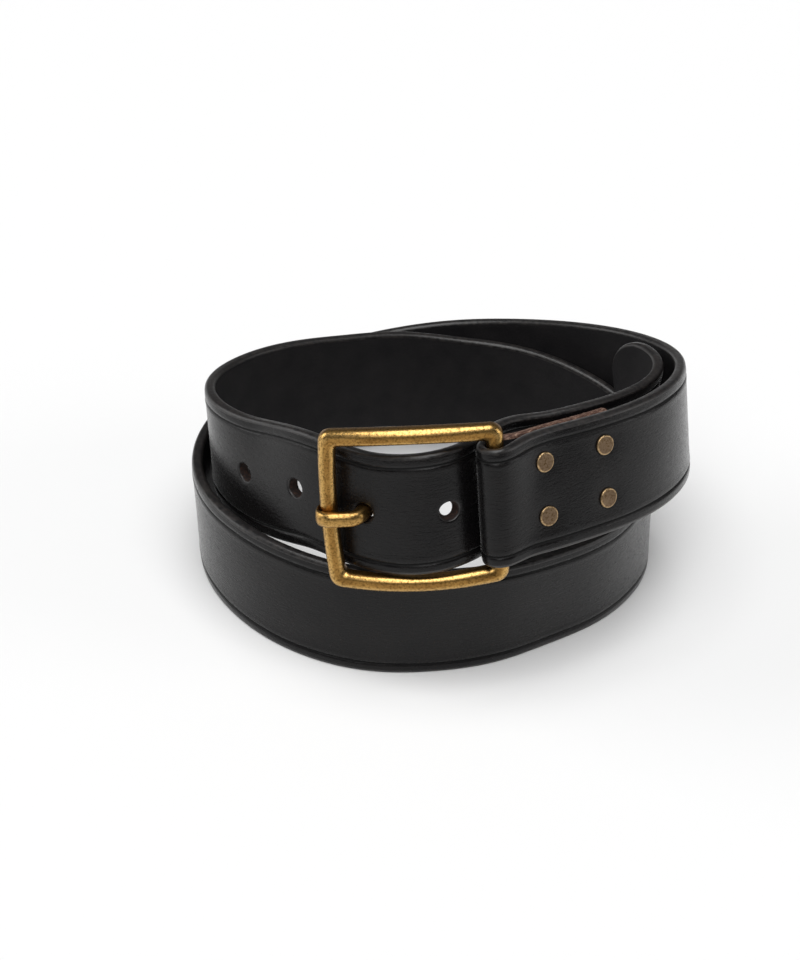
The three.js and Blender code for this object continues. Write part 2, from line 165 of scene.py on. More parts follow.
def natural_spline(step, values):
    """A function through evenly spaced values. Between two of them it is their straight mix
    plus (a^3 - a) and (b^3 - b) shares of the bend at each, a sixth of each, and the bends
    solve bend[i-1] + 4 bend[i] + bend[i+1] = 6 times the kink in the values."""
    count = len(values)
    matrix = 4.0 * np.eye(count) + np.eye(count, k=1) + np.eye(count, k=-1)
    matrix[0] = np.eye(count)[0]
    matrix[-1] = np.eye(count)[-1]
    kinks = np.zeros(count)
    kinks[1:-1] = 6.0 * (values[2:] - 2.0 * values[1:-1] + values[:-2])
    bends = np.linalg.solve(matrix, kinks)

    def at(x):
        """The curve's value at x."""
        place = np.asarray(x, float) / step
        i = np.clip(np.floor(place).astype(int), 0, count - 2)
        b = place - i
        a = 1.0 - b
        curve = ((a**3 - a) * bends[i] + (b**3 - b) * bends[i + 1]) / 6.0
        return a * values[i] + b * values[i + 1] + curve

    return at


radius_at, height_at, lean_at = (
    natural_spline(ROUTE_STEP, named_column(ROUTE, ROUTE_COLUMNS, name)) for name in ROUTE_COLUMNS
)


def route_point(angle):
    """Radius times (sine, minus cosine) of the angle, at its height less SETTLE, all from the
    coil's middle."""
    turn = np.radians(angle)
    flat = [radius_at(angle) * np.sin(turn), -radius_at(angle) * np.cos(turn)]
    return np.stack([*flat, height_at(angle) - SETTLE], axis=-1) + COIL_MIDDLE


def route_along(angle):
    """The direction of travel: the difference of the points a degree ahead and behind."""
    return unit(route_point(angle + 1.0) - route_point(angle - 1.0))


def route_across(angle):
    """The direction from the lower edge to the upper one: upright, turned outwards by the lean."""
    along = route_along(angle)
    level = np.stack([along[..., 1], -along[..., 0], 0.0 * along[..., 0]], axis=-1)
    outwards = unit(level)
    upright = np.cross(outwards, along)
    lean = np.radians(lean_at(angle))[..., None]
    return np.cos(lean) * upright + np.sin(lean) * outwards


route_angles = np.arange(HEEL_ANGLE, TIP_ANGLE + 1.0)
route_steps = np.linalg.norm(np.diff(route_point(route_angles), axis=0), axis=1)
route_lengths = np.concatenate([[0.0], np.cumsum(route_steps)])
strap_length = route_lengths[-1]
hole_in_use = route_lengths[HOLE_IN_USE_ANGLE - HEEL_ANGLE]
print(f"strap {strap_length:.1f} mm from heel bar to tip, hole in use at {hole_in_use:.1f} mm")

# %% [markdown]
# The buckle hangs in the fold, so it has directions of its own: along its length, up its
# bars, and out towards the viewer. They come from three small turns, about the vertical,
# leaning, and tipping sideways.

# %% The buckle's own directions
FRAME_YAW = -1.0
FRAME_LEAN = -9.5
FRAME_ROLL = 8.0


def buckle_directions():
    """The level, front and upright directions turned by the yaw, then the lean, then the roll."""
    yaw, lean, roll = np.radians([FRAME_YAW, FRAME_LEAN, FRAME_ROLL])
    level = np.array([math.cos(yaw), math.sin(yaw), 0.0])
    front = np.array([math.sin(yaw), -math.cos(yaw), 0.0])
    upright = math.cos(lean) * np.array([0.0, 0.0, 1.0]) + math.sin(lean) * front
    right = math.cos(roll) * level + math.sin(roll) * upright
    up = math.cos(roll) * upright - math.sin(roll) * level
    return right, up, np.cross(right, up)


BUCKLE_RIGHT, BUCKLE_UP, BUCKLE_OUT = buckle_directions()
print("up the buckle's bars:", BUCKLE_UP.round(3))

# %% [markdown]
# At the buckle the strap is folded round the heel bar. The two leaves lie either side of
# one middle surface and part where the bar goes between them. Half a cosine, from 1 at
# the bar to 0 some way along, makes them part and meet again without a corner.

# %% The fold
FOLD_BLEND = 12.0
FOLD_TWIST = 22.0
FOLD_BACK_LENGTH = 46.0
FOLD_BULGE = 2.0
HEEL_SPREAD = HEEL_BAR_DIAMETER / 2 + LEAF_GAP
WRAP_RADIUS = HEEL_SPREAD + FOLD_THICKNESS / 2
PLAIN_INSET = (STRAP_THICKNESS + LEAF_GAP) / 2
HEEL_INSET = WRAP_RADIUS - FOLD_BULGE


def fade(length, end):
    """Half a cosine: 1 at length 0, 0 from end onwards."""
    return (1.0 + np.cos(np.pi * np.clip(length / end, 0.0, 1.0))) / 2.0


def leaf(length, side):
    """Points, across directions and thickness of one leaf: side 1 is the outer leaf and side
    -1 the fold-back. Each point is the route's, moved outwards by side times (half the gap
    between the leaves plus half the thickness) less the inset of the middle surface."""
    angle = np.interp(length, route_lengths, route_angles)
    twist = fade(length, FOLD_TWIST)[..., None]
    across = unit((1.0 - twist) * route_across(angle) + twist * BUCKLE_UP)
    outwards = unit(np.cross(route_along(angle), across))
    middle = fade(length, FOLD_BLEND)
    inset = PLAIN_INSET + (HEEL_INSET - PLAIN_INSET) * middle
    spread = LEAF_GAP / 2 + (HEEL_SPREAD - LEAF_GAP / 2) * middle
    full = STRAP_THICKNESS if side > 0 else FOLD_THICKNESS
    thick = FOLD_THICKNESS + (full - FOLD_THICKNESS) * (1.0 - middle)
    offset = side * (spread + thick / 2) - inset
    return route_point(angle) + offset[..., None] * outwards, across, thick


def heel_place():
    """The heel bar's middle, with the directions along, across and outwards there."""
    angle = np.array([float(HEEL_ANGLE)])
    along, across = route_along(angle), BUCKLE_UP[None, :]
    outwards = unit(np.cross(along, across))
    return (route_point(angle) - HEEL_INSET * outwards)[0], along[0], across[0], outwards[0]


heel_middle, heel_along, heel_across, heel_outwards = heel_place()
FRAME_MIDDLE = heel_middle - (FRAME_LENGTH - HEEL_BAR_DIAMETER) / 2 * BUCKLE_RIGHT


def wrap(turn):
    """A half circle round the heel bar, from the inner leaf at turn pi to the outer one at 0."""
    out, back = np.cos(turn)[:, None], np.sin(turn)[:, None]
    points = heel_middle + WRAP_RADIUS * (out * heel_outwards - back * heel_along)
    across = np.broadcast_to(heel_across, points.shape)
    return points, across, np.full(len(turn), FOLD_THICKNESS)


# %% [markdown]
# The fold-back, the half circle round the bar and the rest of the strap are put end to end
# in one row of points, the spine. They meet at slight kinks, which thick leather can't
# have, so the row is smoothed under a bell curve. A point's place needs little of that. Its
# direction across the strap needs more, because the fold turns it quickly.

# %% The whole spine
SPINE_STEP = 0.5
WRAP_STEPS = 26
PLACE_BLUR = 1.5
DIRECTION_BLUR = 6.0


def smoothed(values, width):
    """Each value averaged with its neighbours under a bell curve width samples wide."""
    reach = int(3 * width)
    bell = np.exp(-0.5 * (np.arange(-reach, reach + 1) / width) ** 2)
    padded = np.pad(values, ((reach, reach), (0, 0)), mode="reflect", reflect_type="odd")
    columns = [np.convolve(column, bell / bell.sum(), mode="valid") for column in padded.T]
    return np.stack(columns, axis=1)


def make_spine():
    """The strap's middle line from the fold-back's end to the tip, sampled every half
    millimetre or so: run, points, across directions, outward directions and thickness."""
    back_lengths = np.arange(FOLD_BACK_LENGTH, 0.0, -SPINE_STEP)
    lengths = np.append(np.arange(0.0, strap_length, SPINE_STEP), strap_length)
    turns = np.pi * (1.0 - np.arange(WRAP_STEPS) / WRAP_STEPS)
    parts = [leaf(back_lengths, -1), wrap(turns), leaf(lengths, 1)]
    points, across, thick = (np.concatenate(column) for column in zip(*parts))
    points = smoothed(points, PLACE_BLUR)
    across = smoothed(across, DIRECTION_BLUR)
    along = unit(np.gradient(points, axis=0))
    outwards = unit(np.cross(along, across))
    run = np.concatenate([[0.0], np.cumsum(np.linalg.norm(np.diff(points, axis=0), axis=1))])
    start = len(back_lengths) + len(turns)
    return run, points, np.cross(outwards, along), outwards, thick, lengths, run[start:]


(spine_run, spine_points, spine_across, spine_outwards,
 spine_thick, leaf_lengths, leaf_runs) = make_spine()
strap_run = spine_run[-1]
heel_run = leaf_runs[0]


def run_at(length):
    """The run, from the fold-back's end, of a length measured from the heel bar."""
    return np.interp(length, leaf_lengths, leaf_runs)


def bend(run, height, depth):
    """Flat leather bent round the coil: the spine's point at this run, plus height along its
    across direction, plus depth along its outward direction."""
    def at(columns):
        """The spine's own values, read between its points at each run."""
        return np.stack([np.interp(run, spine_run, c) for c in columns.T], axis=-1)

    raised = height[..., None] * at(spine_across) + depth[..., None] * at(spine_outwards)
    return at(spine_points) + raised


print(f"whole strip {strap_run:.1f} mm, of which {heel_run:.1f} mm is folded back")

# %% [markdown]
# Before it is bent, the strap is a flat strip with clipped corners at one end and a round
# tip at the other. Both are a rule for the half width at each place along it. A power a
# little above two makes the tip blunter than a half circle, as belt tips are cut.

# %% The flat strip: outline and thickness
EDGE_RADIUS = 1.25
TIP_LENGTH = 16.0
TIP_POWER = 2.8
TIP_LEAST_WIDTH = 0.05
TIP_LEAST_THICKNESS = 0.3
CLIP = 4.0
RIVET_COLUMNS = (15.0, 37.0)
RIVET_ROWS = (9.5, -7.4)
hole_runs = run_at(hole_in_use + HOLE_PITCH * np.arange(-2, 3))
rivet_places = [(float(run_at(c)), row) for c in RIVET_COLUMNS for row in RIVET_ROWS]
tip_centre = strap_run - TIP_LENGTH
print("holes at", hole_runs.round(1), "mm")


def half_width(run):
    """Half the strap's width: clipped corners, full width, then a blunt tip, whose half width
    is the root (of TIP_POWER) of one less the reach to that power."""
    clipped = np.minimum(HALF_WIDTH, HALF_WIDTH - CLIP + run)
    reach = np.clip((run - tip_centre) / TIP_LENGTH, 0.0, 1.0)
    return clipped * np.maximum((1.0 - reach**TIP_POWER) ** (1.0 / TIP_POWER), TIP_LEAST_WIDTH)


def thickness(run):
    """The leather's thickness, rounded off as a quarter circle over the last edge radius."""
    plain = np.interp(run, spine_run, spine_thick)
    near = np.clip((strap_run - run) / EDGE_RADIUS, 0.0, 1.0)
    return plain * np.maximum(np.sqrt(1.0 - (1.0 - near) ** 2), TIP_LEAST_THICKNESS)


def edge_distance(run, height):
    """How far a place on the face is from the outline: the half width less the height's size.
    In the tip it is one less the root (of TIP_POWER) of the sum of both shares to that power,
    times the tip's mean size."""
    along_side = half_width(np.minimum(run, tip_centre)) - np.abs(height)
    reach = np.maximum(run - tip_centre, 0.0) / TIP_LENGTH
    share = (np.abs(height / HALF_WIDTH) ** TIP_POWER + reach**TIP_POWER) ** (1.0 / TIP_POWER)
    return np.where(run > tip_centre, (HALF_WIDTH * TIP_LENGTH) ** 0.5 * (1.0 - share), along_side)


# %% [markdown]
# The face isn't plain. A hot iron, guided by the edge, has pressed a line along it, and
# pushed up a low lip on either side. The rivets pull it down a little, and its edges fall
# away where they were burnished. All of that is one number at each place on the face: how
# far the surface stands above or below a plain one. A hand moved the iron, so slow waves
# of a few lengths make the line wander and its depth change.

# %% The relief of the face
CREASE_INSET = 3.8
CREASE_WIDTH = 0.36
CREASE_DEPTH = 0.45
CREASE_WANDER = 0.12
CREASE_UNEVENNESS = 0.35
LIP_SHARE = 0.3
LIP_OFFSET = 0.85
LIP_WIDTH = 0.4
RIVET_HOLLOW_DEPTH = 0.45
RIVET_HOLLOW_REACH = 4.4
SHOULDER_DROP = 0.22
SHOULDER_WIDTH = 3.0
FACE_UNEVENNESS = 0.05
# Sizes of the slow waves in each kind of unevenness, in millimetres: each repeats after 2 pi
# times its size
WANDER_WAVES = (9.0, 23.0, 4.0)
FORCE_WAVES = (13.0, 31.0, 6.0)
FACE_WAVES = (5.0, 12.0, 21.0, 8.0)
FORCE_SHIFT = 40.0
WAVE_OFFSET = 1.7
WAVE_SWAY = 0.9
WAVE_SLANT = 0.6


def ripple(run, height, sizes):
    """Slow unevenness between -1 and 1: a mean of sines of run over size, each set off from
    the last by WAVE_OFFSET and swayed by WAVE_SWAY of a sine of the height, over WAVE_SLANT of
    its size."""
    waves = [
        np.sin(run / size + WAVE_OFFSET * k + WAVE_SWAY * np.sin(height / (WAVE_SLANT * size) + k))
        for k, size in enumerate(sizes)
    ]
    return np.mean(waves, axis=0)


def crease_distance(run, height):
    """How far inside the creased line a place is: its distance from the edge less
    CREASE_INSET and a wander that changes along the strap."""
    wander = CREASE_WANDER * ripple(run, np.zeros_like(height), WANDER_WAVES)
    return edge_distance(run, height) - CREASE_INSET - wander


def crease(run, height):
    """A pressed line: less a bell curve of the distance from it, plus LIP_SHARE of a bell
    curve at LIP_OFFSET on each side, all times a depth that changes along the strap."""
    along_only = np.zeros_like(height)
    force = 1.0 + CREASE_UNEVENNESS * ripple(run + FORCE_SHIFT, along_only, FORCE_WAVES)
    distance = crease_distance(run, height)
    groove = np.exp(-((distance / CREASE_WIDTH) ** 2))
    lip = LIP_SHARE * np.exp(-(((np.abs(distance) - LIP_OFFSET) / LIP_WIDTH) ** 2))
    return CREASE_DEPTH * force * (lip - groove)


def rivet_hollow(run, height):
    """A shallow dish under each rivet head: a bell curve of the distance to the nearest one."""
    squares = [(run - r) ** 2 + (height - h) ** 2 for r, h in rivet_places]
    return -RIVET_HOLLOW_DEPTH * np.exp(-np.min(squares, axis=0) / RIVET_HOLLOW_REACH**2)


def shoulder(run, height):
    """The face falls away near its edges: SHOULDER_DROP times the square of 1 - d, where d is
    the distance from the edge over SHOULDER_WIDTH, at most 1."""
    inside = np.clip(1.0 - edge_distance(run, height) / SHOULDER_WIDTH, 0.0, 1.0)
    return -SHOULDER_DROP * inside**2


def relief(run, height):
    """How far the outer face stands above a plain one, in millimetres: all of these added up."""
    uneven = FACE_UNEVENNESS * ripple(run, height, FACE_WAVES)
    return crease(run, height) + rivet_hollow(run, height) + shoulder(run, height) + uneven


# %% [markdown]
# A grid over the strip needs close lines only where something happens: at the crease, at
# the holes, round the bar and at the tip. A graded row of places puts them there. It adds
# up one over the wished spacing, and then cuts that sum into equal parts.

# %% A graded grid
FINE_PLACES = 8001
# Spacings of the grid's lines, and how far from each thing the closer ones reach, in millimetres
PLAIN_SPACING = 1.9
CLOSE_SPACING = 0.75
TIP_SPACING = 0.16
HOLE_REACH = 6.0
BAR_REACH = 16.0
BAR_SHIFT = 8.0
CLIP_REACH = 5.0
TIP_REACH = 2.0
SIDE_SPACING = 1.6
MIDDLE_SPACING = 1.0
CREASE_SPACING = 0.26
MIDDLE_REACH = 5.5
CREASE_REACH = 1.3


def graded(start, end, spacing):
    """Places from start to end, their spacing following the function spacing(x)."""
    fine = np.linspace(start, end, FINE_PLACES)
    middle = (fine[1:] + fine[:-1]) / 2
    counted = np.concatenate([[0.0], np.cumsum(np.diff(fine) / spacing(middle))])
    parts = int(np.ceil(counted[-1]))
    return np.interp(np.linspace(0.0, counted[-1], parts + 1), counted, fine)


def run_spacing(run):
    """Closer at the clipped end, round the bar, at the holes and towards the tip."""
    at_hole = np.min(np.abs(run[:, None] - hole_runs), axis=1) < HOLE_REACH
    at_bar = np.abs(run - heel_run + BAR_SHIFT) < BAR_REACH
    at_end = (run < CLIP_REACH) | (run > tip_centre)
    spacing = np.where(at_hole | at_bar | at_end, CLOSE_SPACING, PLAIN_SPACING)
    return np.where(strap_run - run < TIP_REACH, TIP_SPACING, spacing)


def height_spacing(height):
    """Closer at the creases and round the middle, where the holes are."""
    from_crease = np.abs(height) - (HALF_WIDTH - CREASE_INSET)
    at_crease = np.exp(-((from_crease / CREASE_REACH) ** 2))
    spacing = SIDE_SPACING - (SIDE_SPACING - CREASE_SPACING) * at_crease
    return np.where(np.abs(height) < MIDDLE_REACH, MIDDLE_SPACING, spacing)


grid_runs = graded(0.0, strap_run, run_spacing)
face_heights = graded(-HALF_WIDTH + EDGE_RADIUS, HALF_WIDTH - EDGE_RADIUS, height_spacing)
print(f"grid of {len(grid_runs)} runs by {len(face_heights)} heights on each face")

# %% [markdown]
# Each slice through the strip is a closed loop: the outer face from its lower edge to its
# upper one, round the upper edge, and back along the inner face. Both halves have the same
# number of points, so a hole can be let in by swapping a block of cells, on both faces, for
# rings that shrink from the block's square outline to the hole's circle, and then run down
# its wall. That keeps the mesh even, where a boolean cut would leave slivers.

# %% The strip as loops of points
EDGE_STEPS = 5
EDGE_MOST = 0.8
FLESH_UNEVENNESS = 0.06
FLESH_WAVES = (7.0, 16.0)


def section_loop():
    """The loop's places: share of the face's height, edge angle, and side 1 or -1. The edge
    angle is 0 on the face and grows to 90 degrees where the round corner meets the edge."""
    quarter = np.linspace(0.0, 90.0, EDGE_STEPS + 1)[1:]
    shares = face_heights / face_heights[-1]
    lower = np.full(EDGE_STEPS, -1.0)
    half_shares = np.concatenate([lower, shares, -lower])
    half_angles = np.concatenate([quarter[::-1], np.zeros(len(shares)), quarter])
    both_shares = np.concatenate([half_shares, half_shares[::-1]])
    both_angles = np.concatenate([half_angles, half_angles[::-1]])
    return both_shares, np.radians(both_angles), np.repeat([1.0, -1.0], len(half_shares))


def strip_loops():
    """Run, height and depth of every point of every slice, as arrays of slices by places.
    On a face the height is its share of the width inside the edge radius. On a corner the
    sine of the edge angle carries it outwards and one less the cosine drops it. The radius
    is at most EDGE_MOST of the half thickness or half width."""
    shares, angles, sides = section_loop()
    run = np.broadcast_to(grid_runs[:, None], (len(grid_runs), len(shares)))
    wide, half_thick = half_width(run), thickness(run) / 2
    radius = np.minimum(EDGE_RADIUS, EDGE_MOST * np.minimum(half_thick, wide))
    height = shares * (wide - radius) + np.sign(shares) * radius * np.sin(angles)
    flesh = FLESH_UNEVENNESS * ripple(run, height, FLESH_WAVES)
    raised = np.where(sides > 0, relief(run, height), flesh)
    depth = sides * (half_thick - radius * (1.0 - np.cos(angles))) + raised * np.cos(angles)
    return run, height, depth


loop_run, loop_height, loop_depth = strip_loops()
slices, places = loop_run.shape
half_places = places // 2
print(f"{slices} slices of {places} places")

# %% The faces of the strip, and the blocks where its holes go
GRAIN, FLESH, BURNISHED, RAW, DYED = range(5)
BLOCK_REACH = 5.4
BURNISHED_REACH = 14.0


def grid_quads():
    """Every cell's four corner numbers, and its row and column, going round each loop."""
    row, column = np.meshgrid(np.arange(slices - 1), np.arange(places), indexing="ij")
    after = (column + 1) % places
    corners = [row * places + column, (row + 1) * places + column,
               (row + 1) * places + after, row * places + after]
    return np.stack(corners, axis=-1).reshape(-1, 4), row.ravel(), column.ravel()


def cell_finish(row, column):
    """The finish of each cell: grain outside, flesh inside, burnished on the edges, and raw
    on the edges of the fold-back, up to BURNISHED_REACH before the bar."""
    on_edge = np.ones(places, bool)
    first, last = EDGE_STEPS, half_places - EDGE_STEPS - 1
    on_edge[first:last] = False
    on_edge[places - 1 - last:places - 1 - first] = False
    inner = column >= half_places
    folded = grid_runs[row] < heel_run - BURNISHED_REACH
    edge_kind = np.where(folded, RAW, BURNISHED)
    return np.where(on_edge[column], edge_kind, np.where(inner, FLESH, GRAIN))


def hole_block(run):
    """The rows and columns of the block of cells round a hole, on the outer face."""
    rows = np.searchsorted(grid_runs, [run - BLOCK_REACH, run + BLOCK_REACH])
    columns = EDGE_STEPS + np.searchsorted(face_heights, [-BLOCK_REACH, BLOCK_REACH])
    return int(rows[0]), int(rows[1]), int(columns[0]), int(columns[1])


def block_outline(rows, columns):
    """The point numbers round a block, once round, starting at its first row and column."""
    (r0, r1), (c0, c1) = rows, columns
    there, back = np.arange(r0, r1), np.arange(r1, r0, -1)
    up, down = np.arange(c0, c1), np.arange(c1, c0, -1)
    path_rows = np.concatenate([there, np.full(len(up), r1), back, np.full(len(down), r0)])
    path_columns = np.concatenate([np.full(len(there), c0), up, np.full(len(back), c1), down])
    return path_rows, path_columns


# %% A hole let into both faces
RIM_COLUMNS = ("past_radius", "below_face")
RIM = np.array([(1.0, 0.0), (0.62, 0.03), (0.34, 0.12), (0.14, 0.3), (0.03, 0.55), (0.0, 0.9)])
PUNCH_TAPER = 0.8
BLOCK_SHARES = np.array([0.35, 0.7])
# How many of the rim's rings keep the face's finish, and after how many the wall is dyed.
# The half puts each change between two rings.
FACE_RINGS = 2.5
DYED_AFTER = 4.5


def hole_rings(run, rows, columns):
    """Run, height and depth of the rings inside a block: two that shrink from its outline to
    the rim, the rim's rounded rings, and the same again on the inner face, back to front. The
    punch went in from the face, so the circles on the inner face are PUNCH_TAPER as wide."""
    path_rows, path_columns = block_outline(rows, columns)
    edge_run = loop_run[path_rows, path_columns] - run
    edge_height = loop_height[path_rows, path_columns]
    around = np.arctan2(edge_height, edge_run)
    radii = HOLE_DIAMETER / 2 + named_column(RIM, RIM_COLUMNS, "past_radius")[:, None]
    drops = named_column(RIM, RIM_COLUMNS, "below_face")[:, None]
    circle_run, circle_height = radii * np.cos(around), radii * np.sin(around)
    shares = BLOCK_SHARES[:, None]
    near_run = (1.0 - shares) * edge_run + shares * circle_run[0]
    near_height = (1.0 - shares) * edge_height + shares * circle_height[0]
    ring_run = run + np.concatenate([near_run, circle_run])
    ring_height = np.concatenate([near_height, circle_height])
    below = np.concatenate([0.0 * shares, drops])
    half_thick = thickness(ring_run) / 2
    outer = half_thick + relief(ring_run, ring_height) - below
    inner = -(half_thick - below)
    taper = np.concatenate([1.0 + 0.0 * shares, PUNCH_TAPER + 0.0 * drops])
    back_run, back_height = run + taper * (ring_run - run), taper * ring_height
    both = [np.concatenate([a, b[::-1]]) for a, b in (
        (ring_run, back_run), (ring_height, back_height), (outer, inner))]
    outline = path_rows * places + path_columns
    other_outline = path_rows * places + (places - 1 - path_columns)
    return both, outline, other_outline


def ring_quads(outline, rings, other_outline, first_number):
    """Cells between an outline, some rings numbered from first_number, and another outline."""
    size = len(outline)
    numbered = first_number + np.arange(rings * size).reshape(rings, size)
    stacked = np.vstack([outline, numbered, other_outline])
    a, b = stacked[:-1], stacked[1:]
    cells = np.stack([a, np.roll(a, -1, axis=1), np.roll(b, -1, axis=1), b], axis=-1)
    from_middle = np.abs(np.arange(rings + 1) - rings / 2)
    finishes = np.where(np.arange(rings + 1) < rings / 2, GRAIN, FLESH)
    finishes = np.where(from_middle < len(RIM) - FACE_RINGS, BURNISHED, finishes)
    finishes = np.where(from_middle < len(RIM) - DYED_AFTER, DYED, finishes)
    return cells.reshape(-1, 4), np.repeat(finishes, size)


def end_quads(row, outer_first):
    """Cells that close the strip's end: each outer place joined to the inner one behind it."""
    k = np.arange(half_places - 1)
    a, b = row * places + k, row * places + k + 1
    c, d = row * places + places - 2 - k, row * places + places - 1 - k
    order = [a, b, c, d] if outer_first else [d, c, b, a]
    return np.stack(order, axis=-1)


# %% [markdown]
# One small function puts a finished grid into a mesh. It writes the corner numbers and the
# places in one go with foreach_set, which is fast even for a hundred thousand points, and
# turns the faces outwards at the end.

# %% Arrays into meshes
import bmesh


def make_piece(name, points, cells, slots=None, finish_of=None):
    """An object at the origin whose mesh has these points, in millimetres, and these cells:
    a list of arrays, one for each number of corners."""
    mesh = bpy.data.meshes.new(name)
    sizes = np.concatenate([np.full(len(part), part.shape[1]) for part in cells])
    corners = np.concatenate([part.ravel() for part in cells])
    mesh.vertices.add(len(points))
    mesh.vertices.foreach_set("co", to_metres(points).ravel())
    mesh.loops.add(len(corners))
    mesh.loops.foreach_set("vertex_index", corners)
    mesh.polygons.add(len(sizes))
    mesh.polygons.foreach_set("loop_start", np.cumsum(sizes) - sizes)
    mesh.polygons.foreach_set("loop_total", sizes)
    if finish_of is not None:
        mesh.polygons.foreach_set("material_index", finish_of)
    mesh.update(calc_edges=True)
    turned = bmesh.new()
    turned.from_mesh(mesh)
    bmesh.ops.recalc_face_normals(turned, faces=turned.faces)
    turned.to_mesh(mesh)
    turned.free()
    mesh.shade_smooth()
    for material in slots or []:
        mesh.materials.append(material)
    made = bpy.data.objects.new(name, mesh)
    bpy.context.scene.collection.objects.link(made)
    print(f"{name}: {len(mesh.vertices)} points, {len(mesh.polygons)} cells")
    return made


# %% [markdown]
# A photograph fixes colours as a screen shows them. Blender's shaders count light, which is
# not the same scale, so hex colours pass through one function on their way in. One more
# small function adds a node, sets it up and connects it, so that each material below reads
# as a list of its nodes.

# %% Colours and nodes
def linear(hex_colour):
    """A hex colour as linear light: ((c + 0.055) / 1.055) to the power 2.4, or c / 12.92 when dark."""
    parts = [int(hex_colour[i:i + 2], 16) / 255 for i in (1, 3, 5)]
    return [c / 12.92 if c <= 0.04045 else ((c + 0.055) / 1.055) ** 2.4 for c in parts] + [1.0]


def add_node(tree, kind, inputs=None, **settings):
    """A new node with these settings. Each input is a value, or the socket that feeds it."""
    node = tree.nodes.new(kind)
    for key, value in settings.items():
        setattr(node, key, value)
    for key, value in (inputs or {}).items():
        if isinstance(value, bpy.types.NodeSocket):
            tree.links.new(value, node.inputs[key])
        else:
            node.inputs[key].default_value = value
    return node


def empty_material(name):
    """A material without any nodes, and its node tree."""
    material = bpy.data.materials.new(name)
    material.use_nodes = True
    material.node_tree.nodes.clear()
    return material, material.node_tree


# %% [markdown]
# The strap is full-grain cowhide, dyed black and finished with wax. That gives a deep black
# with a soft gloss, broken by pores a little over half a millimetre apart and by wrinkles
# that run along the strap. The wax lies thicker in some places, so the gloss is uneven. At
# the edges the black is rubbed to a dull grey brown. The hot iron left its line rougher than
# the rest, and the line is painted darker, as painted shade in its groove. The patterns read
# the flat place that the mesh carries, in millimetres, so that they follow the leather round
# every bend.

# %% The grain side: waxed black cowhide
# How often each pattern repeats in a millimetre, and how high its bumps are, in millimetres
WRINKLES_PER_MM = (0.45, 1.7, 1.0)
PORES_PER_MM = 1.7
SCUFFS_PER_MM = 0.5
PATCHES_PER_MM = 0.09
WRINKLE_HEIGHT = 0.18
PORE_DEPTH = 0.06
# The iron's line gets its painted shade and its roughness in full out to LINE_CORE from its middle, and
# none past LINE_END
LINE_CORE = 0.1
LINE_END = 0.5
LINE_SHADE_AND_ROUGHNESS = 0.85


